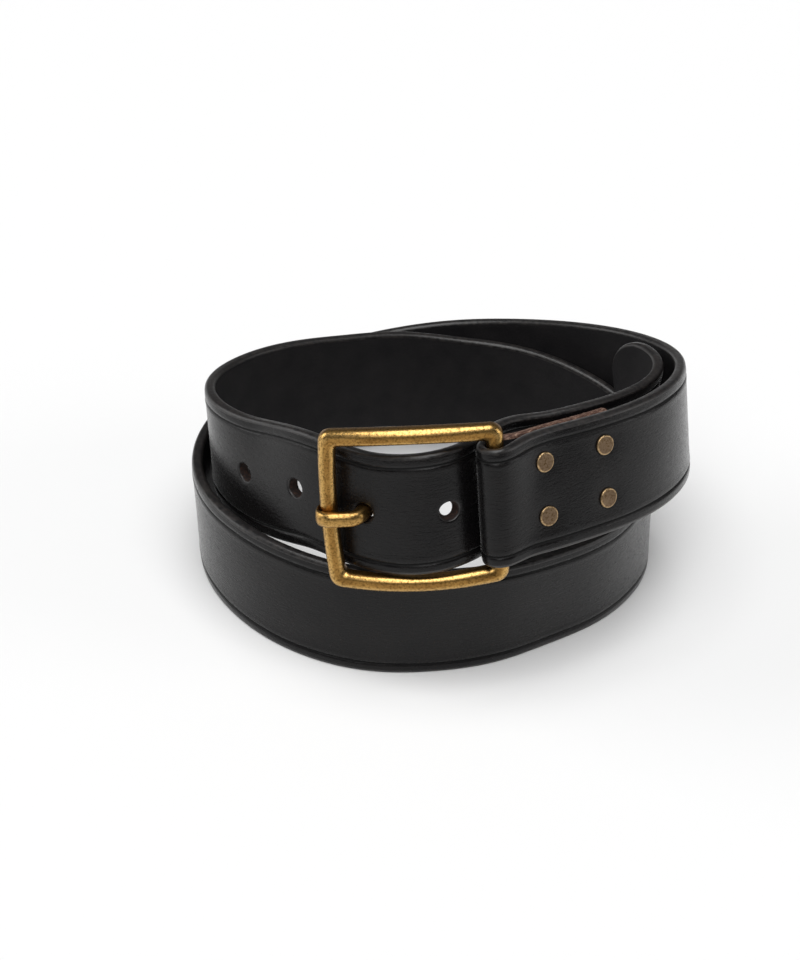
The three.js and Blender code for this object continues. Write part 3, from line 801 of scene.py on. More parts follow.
def make_grain():
    """Wrinkles and pores as bumps, patches and rubbed edges as colour, painted shade along the
    iron's line, and the wax and the line as gloss."""
    material, tree = empty_material("waxed_black_cowhide")
    flat = add_node(tree, "ShaderNodeAttribute", attribute_name="flat").outputs["Vector"]
    wear = add_node(tree, "ShaderNodeAttribute", attribute_name="wear").outputs["Fac"]
    crease = add_node(tree, "ShaderNodeAttribute", attribute_name="crease").outputs["Fac"]
    aside = add_node(tree, "ShaderNodeMath", {0: crease}, operation="ABSOLUTE")
    line_shade_and_roughness = add_node(tree, "ShaderNodeMapRange", {
        "Value": aside.outputs[0], "From Min": LINE_CORE, "From Max": LINE_END,
        "To Min": LINE_SHADE_AND_ROUGHNESS, "To Max": 0.0})
    drawn = add_node(tree, "ShaderNodeMapping", {"Vector": flat, "Scale": WRINKLES_PER_MM})
    wrinkles = add_node(tree, "ShaderNodeTexNoise", {
        "Vector": drawn.outputs["Vector"], "Scale": 1.0, "Detail": 4.0, "Roughness": 0.55,
        "Distortion": 0.8})
    pores = add_node(tree, "ShaderNodeTexVoronoi", {
        "Vector": flat, "Scale": PORES_PER_MM, "Randomness": 1.0})
    patches = add_node(tree, "ShaderNodeTexNoise", {
        "Vector": flat, "Scale": PATCHES_PER_MM, "Detail": 4.0})
    scuffs = add_node(tree, "ShaderNodeTexNoise", {
        "Vector": flat, "Scale": SCUFFS_PER_MM, "Detail": 6.0})
    faded = add_node(tree, "ShaderNodeMapRange", {
        "Value": patches.outputs["Fac"], "From Min": 0.35, "From Max": 0.7})
    tone = add_node(tree, "ShaderNodeMix", {
        0: faded.outputs[0], 6: linear("#080708"), 7: linear("#100e0e")}, data_type="RGBA")
    rubbed = add_node(tree, "ShaderNodeMath", {0: wear, 1: scuffs.outputs["Fac"]}, operation="MULTIPLY")
    worn = add_node(tree, "ShaderNodeMapRange", {
        "Value": rubbed.outputs[0], "From Min": 0.25, "From Max": 0.75})
    edged = add_node(tree, "ShaderNodeMix", {
        0: worn.outputs[0], 6: tone.outputs[2], 7: linear("#4a4642")}, data_type="RGBA")
    # Towards near black along the iron's line: painted shade in its groove, not a colour of the leather.
    colour = add_node(tree, "ShaderNodeMix", {
        0: line_shade_and_roughness.outputs[0], 6: edged.outputs[2], 7: linear("#020202")}, data_type="RGBA")
    waxed = add_node(tree, "ShaderNodeMapRange", {
        "Value": scuffs.outputs["Fac"], "From Min": 0.3, "From Max": 0.7, "To Min": 0.2, "To Max": 0.3})
    gloss = add_node(tree, "ShaderNodeMath", {
        0: line_shade_and_roughness.outputs[0], 1: 0.5, 2: waxed.outputs[0]}, operation="MULTIPLY_ADD")
    pits = add_node(tree, "ShaderNodeMapRange", {
        "Value": pores.outputs["Distance"], "From Min": 0.0, "From Max": 0.5})
    coarse = add_node(tree, "ShaderNodeBump", {
        "Height": wrinkles.outputs["Fac"], "Strength": 0.65, "Distance": WRINKLE_HEIGHT / 1000})
    fine = add_node(tree, "ShaderNodeBump", {
        "Height": pits.outputs[0], "Strength": 0.25, "Distance": PORE_DEPTH / 1000,
        "Normal": coarse.outputs["Normal"]})
    shader = add_node(tree, "ShaderNodeBsdfPrincipled", {
        "Base Color": colour.outputs[2], "Roughness": gloss.outputs[0],
        "Normal": fine.outputs["Normal"], "IOR": 1.5, "Specular IOR Level": 0.23,
        "Sheen Weight": 0.16, "Sheen Roughness": 0.3})
    add_node(tree, "ShaderNodeOutputMaterial", {"Surface": shader.outputs["BSDF"]})
    return material


# %% [markdown]
# The flesh side is the inside of the hide. It was dyed but neither waxed nor pressed, so its
# loose fibres make it matte and a little greyer. The cut edges were rubbed with wax until
# they shone. That pressed their fibres into fine streaks, some of them a little browner.

# %% The flesh side and the burnished edges
NAP_PER_MM = 1.6
DYE_PATCHES_PER_MM = 0.12
LAYERS_PER_MM = 0.7
FIBRE_HEIGHT = 0.3


def make_flesh():
    """A nap of short fibres as bumps, over slow patches of a slightly uneven dye."""
    material, tree = empty_material("dyed_flesh_side")
    flat = add_node(tree, "ShaderNodeAttribute", attribute_name="flat").outputs["Vector"]
    nap = add_node(tree, "ShaderNodeTexNoise", {
        "Vector": flat, "Scale": NAP_PER_MM, "Detail": 6.0, "Roughness": 0.7})
    patches = add_node(tree, "ShaderNodeTexNoise", {
        "Vector": flat, "Scale": DYE_PATCHES_PER_MM, "Detail": 5.0})
    faded = add_node(tree, "ShaderNodeMapRange", {
        "Value": patches.outputs["Fac"], "From Min": 0.3, "From Max": 0.75})
    colour = add_node(tree, "ShaderNodeMix", {
        0: faded.outputs[0], 6: linear("#111012"), 7: linear("#1c1a1b")}, data_type="RGBA")
    bumps = add_node(tree, "ShaderNodeBump", {
        "Height": nap.outputs["Fac"], "Strength": 0.5, "Distance": FIBRE_HEIGHT / 1000})
    shader = add_node(tree, "ShaderNodeBsdfPrincipled", {
        "Base Color": colour.outputs[2], "Roughness": 0.65, "Normal": bumps.outputs["Normal"],
        "IOR": 1.5, "Specular IOR Level": 0.2})
    add_node(tree, "ShaderNodeOutputMaterial", {"Surface": shader.outputs["BSDF"]})
    return material


def make_burnished():
    """Pressed layers of fibre, seen as fine streaks of colour, gloss and height."""
    material, tree = empty_material("burnished_black_edge")
    flat = add_node(tree, "ShaderNodeAttribute", attribute_name="flat").outputs["Vector"]
    layers = add_node(tree, "ShaderNodeTexNoise", {
        "Vector": flat, "Scale": LAYERS_PER_MM, "Detail": 5.0, "Roughness": 0.6})
    rubbed = add_node(tree, "ShaderNodeMapRange", {
        "Value": layers.outputs["Fac"], "From Min": 0.4, "From Max": 0.8})
    colour = add_node(tree, "ShaderNodeMix", {
        0: rubbed.outputs[0], 6: linear("#121112"), 7: linear("#2e2926")}, data_type="RGBA")
    gloss = add_node(tree, "ShaderNodeMapRange", {
        "Value": layers.outputs["Fac"], "From Min": 0.3, "From Max": 0.7,
        "To Min": 0.28, "To Max": 0.45})
    bumps = add_node(tree, "ShaderNodeBump", {
        "Height": layers.outputs["Fac"], "Strength": 0.5, "Distance": FIBRE_HEIGHT / 1000})
    shader = add_node(tree, "ShaderNodeBsdfPrincipled", {
        "Base Color": colour.outputs[2], "Roughness": gloss.outputs[0],
        "Normal": bumps.outputs["Normal"], "IOR": 1.5, "Specular IOR Level": 0.5})
    add_node(tree, "ShaderNodeOutputMaterial", {"Surface": shader.outputs["BSDF"]})
    return material


# %% [markdown]
# A cut that was never rubbed shows the fibres of the hide end on: short streaks that run
# with the strap, brown in the middle of the leather. The black dye has soaked into the walls
# of the punched holes, so they are the same fibres, only darker.

# %% The raw cuts
RAW_STRETCH = (0.6, 1.0, 2.4)
FIBRES_PER_MM = 1.1
CUT_HEIGHT = 0.4


def make_raw(name, deep, plain, pale):
    """Streaks of fibre in three tones: two mixes of one noise, stretched along the strap."""
    material, tree = empty_material(name)
    flat = add_node(tree, "ShaderNodeAttribute", attribute_name="flat").outputs["Vector"]
    stretched = add_node(tree, "ShaderNodeMapping", {"Vector": flat, "Scale": RAW_STRETCH})
    fibres = add_node(tree, "ShaderNodeTexNoise", {
        "Vector": stretched.outputs["Vector"], "Scale": FIBRES_PER_MM, "Detail": 7.0,
        "Roughness": 0.7})
    first = add_node(tree, "ShaderNodeMapRange", {
        "Value": fibres.outputs["Fac"], "From Min": 0.35, "From Max": 0.52})
    second = add_node(tree, "ShaderNodeMapRange", {
        "Value": fibres.outputs["Fac"], "From Min": 0.52, "From Max": 0.68})
    lower = add_node(tree, "ShaderNodeMix", {
        0: first.outputs[0], 6: linear(deep), 7: linear(plain)}, data_type="RGBA")
    colour = add_node(tree, "ShaderNodeMix", {
        0: second.outputs[0], 6: lower.outputs[2], 7: linear(pale)}, data_type="RGBA")
    bumps = add_node(tree, "ShaderNodeBump", {
        "Height": fibres.outputs["Fac"], "Strength": 0.7, "Distance": CUT_HEIGHT / 1000})
    shader = add_node(tree, "ShaderNodeBsdfPrincipled", {
        "Base Color": colour.outputs[2], "Roughness": 0.75, "Normal": bumps.outputs["Normal"],
        "IOR": 1.5, "Specular IOR Level": 0.35})
    add_node(tree, "ShaderNodeOutputMaterial", {"Surface": shader.outputs["BSDF"]})
    return material


leather_finishes = [
    make_grain(), make_flesh(), make_burnished(),
    make_raw("raw_leather_cut", "#2b1a14", "#5b4034", "#a98f7c"),
    make_raw("dyed_hole_wall", "#0c0a0a", "#261813", "#4b3124"),
]
print("leather finishes:", [m.name for m in leather_finishes])

# %% [markdown]
# Now the strip is put together. The blocks at the holes come out of the grid and their
# rings go in, both ends are closed, and the whole sheet of points is bent round the coil.
# The lower edge is pressed flat where the belt stands on it.

# %% The strap
WORN_WIDTH = 1.6


def hole_parts(quads, row, column, finish):
    """The grid without its blocks, and the rings of all the holes with their cells."""
    keep = np.ones(len(quads), bool)
    points, cells, finishes = [], [], []
    count = slices * places
    for run in hole_runs:
        r0, r1, c0, c1 = hole_block(run)
        outer = (column >= c0) & (column < c1)
        inner = (column > places - 2 - c1) & (column <= places - 2 - c0)
        keep &= ~((row >= r0) & (row < r1) & (outer | inner))
        rings, outline, other = hole_rings(run, (r0, r1), (c0, c1))
        new_cells, new_finishes = ring_quads(outline, len(rings[0]), other, count)
        points.append(np.stack([part.ravel() for part in rings], axis=-1))
        cells.append(new_cells)
        finishes.append(new_finishes)
        count += rings[0].size
    return (np.concatenate(points), np.concatenate([quads[keep], *cells]),
            np.concatenate([finish[keep], *finishes]))


def make_strap():
    """The strap's points, each bent round the coil from its flat place, and its cells. Wear is
    a bell curve of the distance from the edge, WORN_WIDTH wide."""
    quads, row, column = grid_quads()
    ring_points, quads, finish = hole_parts(quads, row, column, cell_finish(row, column))
    ends = [end_quads(0, False), end_quads(slices - 1, True)]
    quads = np.concatenate([quads, *ends])
    end_finishes = [np.full(len(ends[0]), RAW), np.full(len(ends[1]), BURNISHED)]
    finish = np.concatenate([finish, *end_finishes])
    flat = np.stack([loop_run.ravel(), loop_height.ravel(), loop_depth.ravel()], axis=-1)
    flat = np.concatenate([flat, ring_points])
    used, quads = np.unique(quads, return_inverse=True)
    flat = flat[used]
    points = bend(*flat.T)
    points[:, 2] = np.maximum(points[:, 2], 0.0)
    made = make_piece("leather_strap", points, [quads.reshape(-1, 4)], leather_finishes, finish)
    flat_place = made.data.attributes.new("flat", "FLOAT_VECTOR", "POINT")
    flat_place.data.foreach_set("vector", flat.ravel())
    worn = np.exp(-((edge_distance(flat[:, 0], flat[:, 1]) / WORN_WIDTH) ** 2))
    from_crease = crease_distance(flat[:, 0], flat[:, 1])
    for name, values in (("wear", worn), ("crease", from_crease)):
        made.data.attributes.new(name, "FLOAT", "POINT").data.foreach_set("value", values)
    return made


strap = make_strap()
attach(strap, "root")
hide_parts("strap")

# %% [markdown]
# The buckle is a cast square frame. Its outline is a rectangle with round corners and
# slightly swollen sides. Its bars are well rounded on their face and flatter behind. A
# bar's section is carried round the outline, and turns into a circle where the fold grips
# the heel bar.

# %% The buckle's outlines and section
FRAME_BOW = 3.6
FRAME_SWELL = 0.9
OUTER_CORNER = 4.0
INNER_CORNER = 1.5
CORNER_STEPS = 12
SIDE_STEPS = 65
# The section's corners, a quarter turn apart: outer and inner on the face, then inner and
# outer behind. A side or a face of 1 is the outer one.
SECTION_COLUMNS = ("radius", "side", "face")
SECTION = np.array([(2.4, 1, 1), (1.8, -1, 1), (0.6, -1, -1), (0.7, 1, -1)])
SECTION_STEPS = 8
WIDE_GAP = 0.6


def in_buckle(x, y, z):
    """Points given along the buckle's length, up its bars and out of its face: its middle
    plus each of the three times the buckle's own direction."""
    directions = zip((x, y, z), (BUCKLE_RIGHT, BUCKLE_UP, BUCKLE_OUT))
    return FRAME_MIDDLE + sum(place[..., None] * way for place, way in directions)


def frame_outline(length, height, radius):
    """A rectangle with round corners: quarter circles, and between them sides that swell by
    4 p (1 - p) of FRAME_SWELL at the part p of their length. The heel side stays straight."""
    quarter = np.radians(np.linspace(0.0, 90.0, CORNER_STEPS + 1))
    part = np.linspace(0.0, 1.0, SIDE_STEPS + 1)[1:-1]
    wide, tall = length / 2 - radius, height / 2 - radius
    centres = np.array([(wide, tall), (-wide, tall), (-wide, -tall), (wide, -tall)])
    pieces = []
    for i, centre in enumerate(centres):
        turn = quarter + i * np.pi / 2
        pieces.append(centre + radius * np.stack([np.cos(turn), np.sin(turn)], axis=-1))
        square = (i + 1) * np.pi / 2
        normal = np.array([np.cos(square), np.sin(square)])
        start, end = centre + radius * normal, centres[(i + 1) % 4] + radius * normal
        swell = 0.0 if i == 3 else FRAME_SWELL
        push = (swell * 4.0 * part * (1.0 - part))[:, None]
        pieces.append(start + (end - start) * part[:, None] + push * normal)
    return np.concatenate(pieces)


def bar_section():
    """Places round a bar from the outer shoulder: a rectangle whose corners are quarter
    circles of their own radii, with a middle place in each gap over WIDE_GAP. Also how round
    each place is: the sine of its part of the corner, and 0 between corners."""
    places_round, roundness = [], []
    quarter = np.linspace(0.0, 90.0, SECTION_STEPS + 1)
    corners = (named_column(SECTION, SECTION_COLUMNS, name) for name in SECTION_COLUMNS)
    for i, (radius, side, face) in enumerate(zip(*corners)):
        turn = np.radians(90.0 * i + quarter)
        centre = np.array([side * (BAR_WIDTH / 2 - radius), face * (BAR_DEPTH / 2 - radius)])
        places_round.append(centre + radius * np.stack([np.cos(turn), np.sin(turn)], axis=-1))
        roundness.append(np.sin(2.0 * np.radians(quarter)))
    places_round, roundness = np.concatenate(places_round), np.concatenate(roundness)
    following = np.roll(places_round, -1, axis=0)
    gaps = np.linalg.norm(following - places_round, axis=1) > WIDE_GAP
    middles = (places_round + following)[gaps] / 2
    order = np.argsort(np.concatenate([np.arange(len(places_round)), np.flatnonzero(gaps) + 0.5]))
    places_round = np.concatenate([places_round, middles])[order]
    roundness = np.concatenate([roundness, np.zeros(len(middles))])[order]
    return places_round, roundness


# %% The buckle's frame
HELD_BLEND = 1.2
CROWN = 0.12


def frame_rings():
    """Rings of points round the frame: the section's width runs from the inner outline to the
    outer one, its face is crowned by 1 - u^2 of CROWN across the bar, and the whole frame
    bows out by 1 - u^2 of FRAME_BOW along its length. The heel bar is mixed into a circle
    over HELD_BLEND at each edge of the strap, by 3 h^2 - 2 h^3."""
    outer = frame_outline(FRAME_LENGTH, FRAME_HEIGHT, OUTER_CORNER)
    inner = frame_outline(FRAME_LENGTH - 2 * BAR_WIDTH, FRAME_HEIGHT - 2 * BAR_WIDTH, INNER_CORNER)
    section, roundness = bar_section()
    round_section = HEEL_BAR_DIAMETER / 2 * unit(section)
    inside = HALF_WIDTH + HELD_BLEND / 2 - np.abs(inner[:, 1])
    held = np.clip(inside / HELD_BLEND, 0.0, 1.0) * (outer[:, 0] > 0.0)
    held = (held * held * (3.0 - 2.0 * held))[:, None, None]
    mixed = section * (1.0 - held) + round_section * held
    share = mixed[..., 0] / BAR_WIDTH + 0.5
    middle_x = (inner[:, 0] + outer[:, 0]) / 2
    bow = FRAME_BOW * np.maximum(1.0 - (middle_x / ((FRAME_LENGTH - BAR_WIDTH) / 2)) ** 2, 0.0)
    flat = inner[:, None] + share[..., None] * (outer - inner)[:, None]
    crown = CROWN * (1.0 - (2.0 * share - 1.0) ** 2) * (mixed[..., 1] > 0)
    rings = in_buckle(flat[..., 0], flat[..., 1], mixed[..., 1] + bow[:, None] + crown)
    return rings, np.broadcast_to(roundness, share.shape)


def ring_cells(rings, closed):
    """Cells between rings of one size. A tube that isn't closed ends in two fans of triangles,
    whose middle points are numbered after all the rings."""
    count, size = rings.shape[:2]
    numbers = np.arange(count * size).reshape(count, size)
    first, second = (numbers, np.roll(numbers, -1, axis=0)) if closed else (numbers[:-1], numbers[1:])
    quads = np.stack(
        [first, second, np.roll(second, -1, axis=1), np.roll(first, -1, axis=1)], axis=-1
    ).reshape(-1, 4)
    if closed:
        return [quads]
    fans = [
        np.stack([ring, np.roll(ring, -1), np.full(size, count * size + i)], axis=-1)
        for i, ring in enumerate((numbers[0], numbers[-1]))
    ]
    return [quads, *fans]


def capped(rings):
    """The points of a tube with the middles of its two end rings added after them."""
    ends = np.stack([rings[0].mean(axis=0), rings[-1].mean(axis=0)])
    return np.concatenate([rings.reshape(-1, 3), ends])


print("section of", len(bar_section()[0]), "places")


# %% [markdown]
# The buckle was cast in brass and then darkened in a bath, and wear has polished its
# corners again. So the flat faces are a dull brown gold with small dark specks of the
# casting skin, and the rounded edges are brighter and smoother. The mesh carries how
# rounded each place is, and the material mixes both finishes by it.

# %% Cast brass with a dark patina
# Sizes in millimetres: the patina's clouds, the casting skin's specks and their depth
CLOUD_SIZE = 6.25
SPECK_SIZE = 0.625
SPECK_DEPTH = 0.12
MOST_POLISH = 0.8
POLISH_GLOSS = 0.1


def make_brass(name, dark, plain, bright, roughness):
    """Patina, metal and polished edges: noise mixes the first two, the wear the third."""
    material, tree = empty_material(name)
    place = add_node(tree, "ShaderNodeTexCoord").outputs["Object"]
    wear = add_node(tree, "ShaderNodeAttribute", attribute_name="wear").outputs["Fac"]
    clouds = add_node(tree, "ShaderNodeTexNoise", {
        "Vector": place, "Scale": 1000 / CLOUD_SIZE, "Detail": 5.0, "Roughness": 0.55})
    specks = add_node(tree, "ShaderNodeTexNoise", {
        "Vector": place, "Scale": 1000 / SPECK_SIZE, "Detail": 3.0, "Roughness": 0.6})
    share = add_node(tree, "ShaderNodeMapRange", {
        "Value": clouds.outputs["Fac"], "From Min": 0.25, "From Max": 0.75})
    body = add_node(tree, "ShaderNodeMix", {
        0: share.outputs[0], 6: linear(dark), 7: linear(plain)}, data_type="RGBA")
    polish = add_node(tree, "ShaderNodeMapRange", {
        "Value": wear, "From Min": 0.2, "From Max": 1.0, "To Min": 0.0, "To Max": MOST_POLISH})
    edged = add_node(tree, "ShaderNodeMix", {
        0: polish.outputs[0], 6: body.outputs[2], 7: linear(bright)}, data_type="RGBA")
    spot = add_node(tree, "ShaderNodeMapRange", {
        "Value": specks.outputs["Fac"], "From Min": 0.45, "From Max": 0.75})
    colour = add_node(tree, "ShaderNodeMix", {
        0: spot.outputs[0], 6: edged.outputs[2], 7: linear("#4a3415")}, data_type="RGBA")
    gloss = add_node(tree, "ShaderNodeMapRange", {
        "Value": polish.outputs[0], "From Min": 0.0, "From Max": MOST_POLISH,
        "To Min": roughness, "To Max": roughness - POLISH_GLOSS})
    bumps = add_node(tree, "ShaderNodeBump", {
        "Height": specks.outputs["Fac"], "Strength": 0.45, "Distance": SPECK_DEPTH / 1000})
    shader = add_node(tree, "ShaderNodeBsdfPrincipled", {
        "Base Color": colour.outputs[2], "Metallic": 1.0, "Roughness": gloss.outputs[0],
        "Normal": bumps.outputs["Normal"]})
    add_node(tree, "ShaderNodeOutputMaterial", {"Surface": shader.outputs["BSDF"]})
    return material


antique_brass = make_brass("antique_cast_brass", "#8a6533", "#ae8649", "#d8b06c", 0.36)
rivet_brass = make_brass("dull_rivet_brass", "#6e5c4a", "#88735c", "#c6a87e", 0.42)


def set_wear(made, values):
    """Gives a piece the attribute that its material reads as polish by wear."""
    wear = made.data.attributes.new("wear", "FLOAT", "POINT")
    wear.data.foreach_set("value", np.ascontiguousarray(values, float).ravel())


rings, roundness = frame_rings()
buckle = make_piece(
    "buckle_casting", rings.reshape(-1, 3), ring_cells(rings, True), [antique_brass])
set_wear(buckle, roundness)
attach(buckle, "root")
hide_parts("buckle_frame")

# %% [markdown]
# The tongue is a short stout rod. It is hooked round the front bar, crosses its face and
# dips through the hole of the tail that is in use, where it is a little thicker. It is one
# soft-cornered section carried along a smooth path, with both ends drawn in to a dome.
# Every time the belt is fastened a thumb moves it, so it is polished all over, and most at
# its corners.

# %% The tongue's sizes and helpers
TONGUE_WIDTH = 4.7
TONGUE_THICKNESS = 3.8
TONGUE_SIDES = 32
TONGUE_POWER = 2.3
HOOK_GAP = 0.25
HOOK_END = 0.5
PEG_SHIFT = 0.3
PEG_THICKNESS = 4.5
PEG_REACH = 2.6
PEG_END = 2.2
BEFORE_BEND = 1.5
AFTER_BEND = 1.2
PATH_PLACES = 150
PATH_BLUR = 4.0
LEAST_DISTANCE = 0.05
HANDLED_WEAR = 0.45


def superellipse(count, power):
    """Places round a soft-cornered square of half side 1: cosine and sine, each to the power
    2 / power, with their signs kept."""
    turn = np.linspace(0.0, 2.0 * np.pi, count, endpoint=False)
    ring = np.stack([np.cos(turn), np.sin(turn)], axis=-1)
    return np.sign(ring) * np.abs(ring) ** (2.0 / power)


def leaf_place(length, height):
    """A place on the outer leaf, with the leather's along and outward directions there."""
    run = run_at(np.array([length - 1.0, length, length + 1.0]))
    points = bend(run, np.full(3, float(height)), np.zeros(3))
    along = unit(points[2] - points[0])
    across = unit(bend(run[1:2], np.array([height + 1.0]), np.zeros(1))[0] - points[1])
    return points[1], along, across, unit(np.cross(along, across))


def dome(distance, radius):
    """How far a round end is drawn in, from 0 to 1: the root of 1 - (1 - u)^2, where u is the
    distance from its tip over its radius, at most 1."""
    near = np.clip((distance + LEAST_DISTANCE) / radius, 0.0, 1.0)
    return np.sqrt(1.0 - (1.0 - near) ** 2)


# %% The tongue
HOOK_COLUMNS = ("x", "z", "turn", "thick")


def tongue_path():
    """Places along the tongue in the buckle's directions, their thickness, and how high up the
    bars it lies: round the bar's back and side, across its face, and down the hole's own
    direction. The hook's rows are on its inner side, so half the thickness is added, the way
    that the row's turn gives."""
    hole, _, _, outwards = leaf_place(hole_in_use - PEG_SHIFT, 0.0)
    away = hole - FRAME_MIDDLE
    hole_x, hole_y, hole_z = away @ BUCKLE_RIGHT, away @ BUCKLE_UP, away @ BUCKLE_OUT
    into_x, into_z = -outwards @ BUCKLE_RIGHT, -outwards @ BUCKLE_OUT
    bar_x = -(FRAME_LENGTH - BAR_WIDTH) / 2 - FRAME_SWELL
    side, face = BAR_WIDTH / 2 + HOOK_GAP, BAR_DEPTH / 2 + HOOK_GAP
    hook = np.array([
        (0.2, -face, 180, 1.0), (1.0 - side, -face, 180, 1.0), (-side, 1.0 - face, 90, 1.0),
        (-side, face - 1.2, 90, 1.2), (0.3 - side, face - 0.3, 50, 1.8),
        (1.4 - side, face, 12, 2.7), (2.6 - side, face, 0, TONGUE_THICKNESS),
        (side, face, 0, TONGUE_THICKNESS),
    ])
    x, z, turn, thick = (named_column(hook, HOOK_COLUMNS, name) for name in HOOK_COLUMNS)
    turn = np.radians(turn)
    path = np.stack([bar_x + x - np.sin(turn) * thick / 2, z + np.cos(turn) * thick / 2], axis=-1)
    top = face + TONGUE_THICKNESS / 2
    into = np.array([into_x, into_z])
    peg = np.array([hole_x, hole_z])
    bend_place = peg + into * (top - hole_z) / into_z
    after = np.array([bend_place - (BEFORE_BEND, 0.0), bend_place + AFTER_BEND * into,
                      peg, peg + PEG_REACH * into])
    thick = np.concatenate([thick, [TONGUE_THICKNESS], np.full(3, PEG_THICKNESS)])
    return np.concatenate([path, after]), thick, hole_y


def tongue_rings():
    """Rings along the smoothed path, square to it: the superellipse's two parts times half the
    width and half the thickness, drawn in by a dome at each end. Also how sharp each corner is."""
    path, thick, hole_y = tongue_path()
    walked = np.concatenate([[0.0], np.cumsum(np.linalg.norm(np.diff(path, axis=0), axis=1))])
    fine = np.linspace(0.0, walked[-1], PATH_PLACES)
    middle = np.stack([np.interp(fine, walked, column) for column in (*path.T, thick)], axis=-1)
    middle = smoothed(middle, PATH_BLUR)
    along = unit(np.gradient(middle[:, :2], axis=0))
    normal = np.stack([-along[:, 1], along[:, 0]], axis=-1)
    ends = dome(fine, HOOK_END) * dome(fine[-1] - fine, PEG_END)
    ring = superellipse(TONGUE_SIDES, TONGUE_POWER)
    across = ring[:, 0] * TONGUE_WIDTH / 2 * ends[:, None]
    rise = ring[:, 1] * (middle[:, 2] / 2 * ends)[:, None]
    xs = middle[:, 0, None] + rise * normal[:, 0, None]
    zs = middle[:, 1, None] + rise * normal[:, 1, None]
    return in_buckle(xs, hole_y + across, zs), np.abs(ring).prod(axis=1)


rings, corners = tongue_rings()
tongue = make_piece("buckle_tongue", capped(rings), ring_cells(rings, False), [antique_brass])
worn = HANDLED_WEAR + (1.0 - HANDLED_WEAR) * np.tile(corners, len(rings))
set_wear(tongue, np.append(worn, [0.0, 0.0]))
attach(tongue, "root")
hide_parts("tongue")

# %% [markdown]
# Four rivets close the fold. Each is turned from brass wire: a flat head with a rounded
# rim on the face, a shank through both leaves, and a smaller head behind. A profile of
# radius and height, spun round the rivet's axis, gives the whole of it. Rubbing has
# polished the rims and left the flat heads dull.

# %% The rivets
RIVET_PROFILE_COLUMNS = ("radius", "height", "polish")
BACK = -(FOLD_THICKNESS + LEAF_GAP / 2)
FRONT = STRAP_THICKNESS + LEAF_GAP / 2
RIVET_PROFILE = np.array([
    (0.6, BACK - 0.75, 0.2), (2.3, BACK - 0.7, 0.4), (2.75, BACK - 0.5, 0.9), (2.9, BACK - 0.2, 1.0),
    (2.9, BACK + 0.3, 0.3), (1.3, BACK + 0.4, 0.0), (1.3, FRONT - 0.6, 0.0), (2.9, FRONT - 0.55, 0.0),
    (3.1, FRONT - 0.4, 0.2), (3.15, FRONT - 0.1, 0.5), (3.12, FRONT + 0.15, 0.8), (3.0, FRONT + 0.33, 1.0),
    (2.8, FRONT + 0.42, 1.0), (2.6, FRONT + 0.45, 0.4), (2.4, FRONT + 0.46, 0.0), (1.9, FRONT + 0.47, 0.0),
    (1.2, FRONT + 0.48, 0.0), (0.5, FRONT + 0.48, 0.0),
])
RIVET_SIDES = 40
CAP_POLISH = 0.3


def rivet_rings(column, row):
    """The profile's radius times cosine and sine of the turn, in the leather's own directions."""
    middle, along, across, outwards = leaf_place(column, row)
    turn = np.linspace(0.0, 2.0 * np.pi, RIVET_SIDES, endpoint=False)
    spokes = np.cos(turn)[:, None] * along + np.sin(turn)[:, None] * across
    radius = named_column(RIVET_PROFILE, RIVET_PROFILE_COLUMNS, "radius")
    height = named_column(RIVET_PROFILE, RIVET_PROFILE_COLUMNS, "height")
    axis = (height - PLAIN_INSET)[:, None, None] * outwards
    return middle + radius[:, None, None] * spokes[None] + axis


polish = np.repeat(named_column(RIVET_PROFILE, RIVET_PROFILE_COLUMNS, "polish"), RIVET_SIDES)
for number, (column, row) in enumerate([(c, r) for c in RIVET_COLUMNS for r in RIVET_ROWS], 1):
    rings = rivet_rings(column, row)
    rivet = make_piece(f"flat_rivet_{number}", capped(rings), ring_cells(rings, False), [rivet_brass])
    set_wear(rivet, np.append(polish, [CAP_POLISH, CAP_POLISH]))
    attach(rivet, "root")
    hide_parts(f"rivet_{number}")

# %% [markdown]
# The belt stands on a plain white table in a white studio. Four soft lights stand so far
# off that the table is lit evenly: a strong one overhead, which draws the bright lines along
# the upper edges, one in front for the buckle, and a low one at each side that brings out
# the curve of the leather. Each is a disc in the sky, and a wide disc gives a soft shadow.
# The white world fills the rest.

# %% The table and the light
TABLE_HALF_SIZE = 3.0
TABLE_COLOUR = "#efefef"
WORLD_STRENGTH = 0.12
LIGHT_COLUMNS = ("name", "left_to_right", "front_to_back", "up", "width_degrees", "strength")
LIGHTS = [
    ("overhead_light", -0.05, -0.15, 1.0, 55.0, 2.5),
    ("front_light", -0.2, -0.8, 0.8, 30.0, 0.6),
    ("left_light", -1.0, 0.1, 0.35, 36.0, 0.85),
    ("right_light", 1.0, -0.05, 0.32, 30.0, 0.4),
]


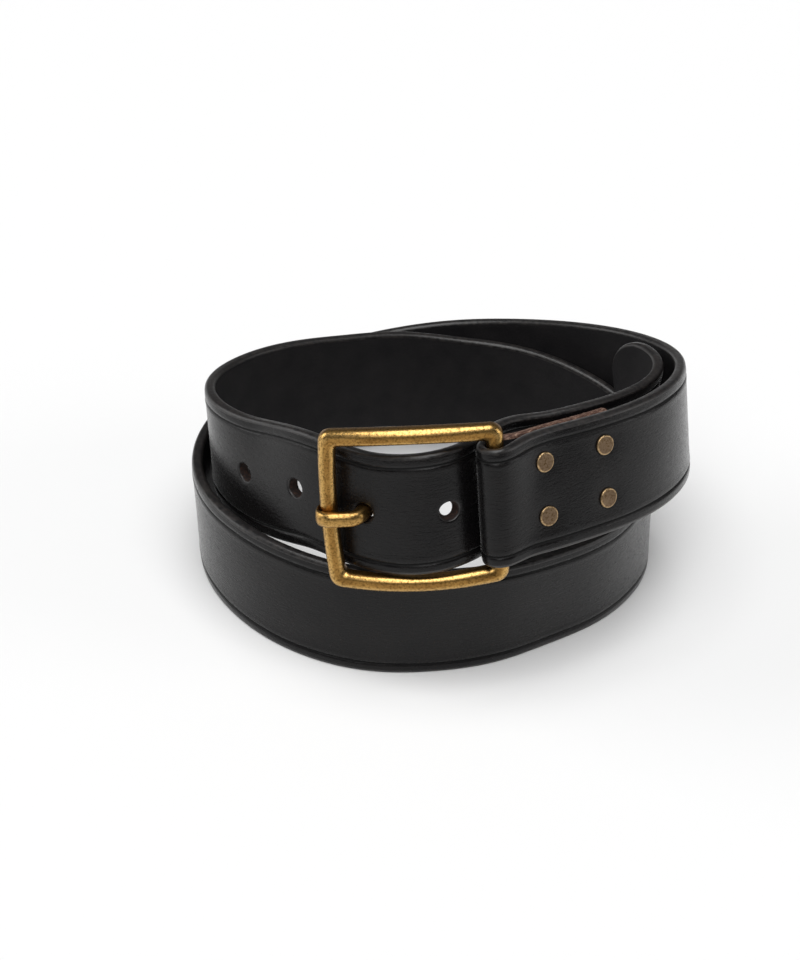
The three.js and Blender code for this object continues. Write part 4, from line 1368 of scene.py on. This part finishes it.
def make_table():
    """One square face at height 0, in matte white, marked as stage."""
    size = TABLE_HALF_SIZE
    mesh = bpy.data.meshes.new("table")
    mesh.from_pydata([(-size, -size, 0), (size, -size, 0), (size, size, 0), (-size, size, 0)],
                     [], [(0, 1, 2, 3)])
    material, tree = empty_material("matte_white_table")
    shader = add_node(tree, "ShaderNodeBsdfPrincipled", {
        "Base Color": linear(TABLE_COLOUR), "Roughness": 0.9, "Specular IOR Level": 0.1})
    add_node(tree, "ShaderNodeOutputMaterial", {"Surface": shader.outputs["BSDF"]})
    mesh.materials.append(material)
    made = bpy.data.objects.new("table", mesh)
    bpy.context.scene.collection.objects.link(made)
    made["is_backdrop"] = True


def make_world(strength):
    """An even white light of this strength from all round."""
    world = bpy.data.worlds.new("white_studio")
    bpy.context.scene.world = world
    world.use_nodes = True
    tree = world.node_tree
    tree.nodes.clear()
    background = add_node(tree, "ShaderNodeBackground", {
        "Color": linear("#ffffff"), "Strength": strength})
    add_node(tree, "ShaderNodeOutputWorld", {"Surface": background.outputs["Background"]})


def make_light(name, left_to_right, front_to_back, up, width_degrees, strength):
    """A sun that shines on the belt from this direction, as a disc of this width in the sky."""
    data = bpy.data.lights.new(name, "SUN")
    data.angle = math.radians(width_degrees)
    data.energy = strength
    made = bpy.data.objects.new(name, data)
    behind = unit(np.array([left_to_right, front_to_back, up]))
    level = unit(np.cross([0.0, 0.0, 1.0], behind))
    placed = np.eye(4)
    placed[:3, :3] = np.column_stack([level, np.cross(behind, level), behind])
    placed[:3, 3] = behind
    made.matrix_world = Matrix(placed.tolist())
    bpy.context.scene.collection.objects.link(made)


make_table()
make_world(WORLD_STRENGTH)
for row in LIGHTS:
    make_light(**dict(zip(LIGHT_COLUMNS, row)))
bpy.context.scene.view_settings.view_transform = "Standard"
print(f"a table, a white world and {len(LIGHTS)} lights")

# %% Compare the dressed box with the solid box
dressed_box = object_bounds()
growth = [[round(1000 * (d - s), 2) for d, s in zip(a, b)] for a, b in zip(dressed_box, solid_box)]
print("dressed box less the solid box, in mm:", growth)
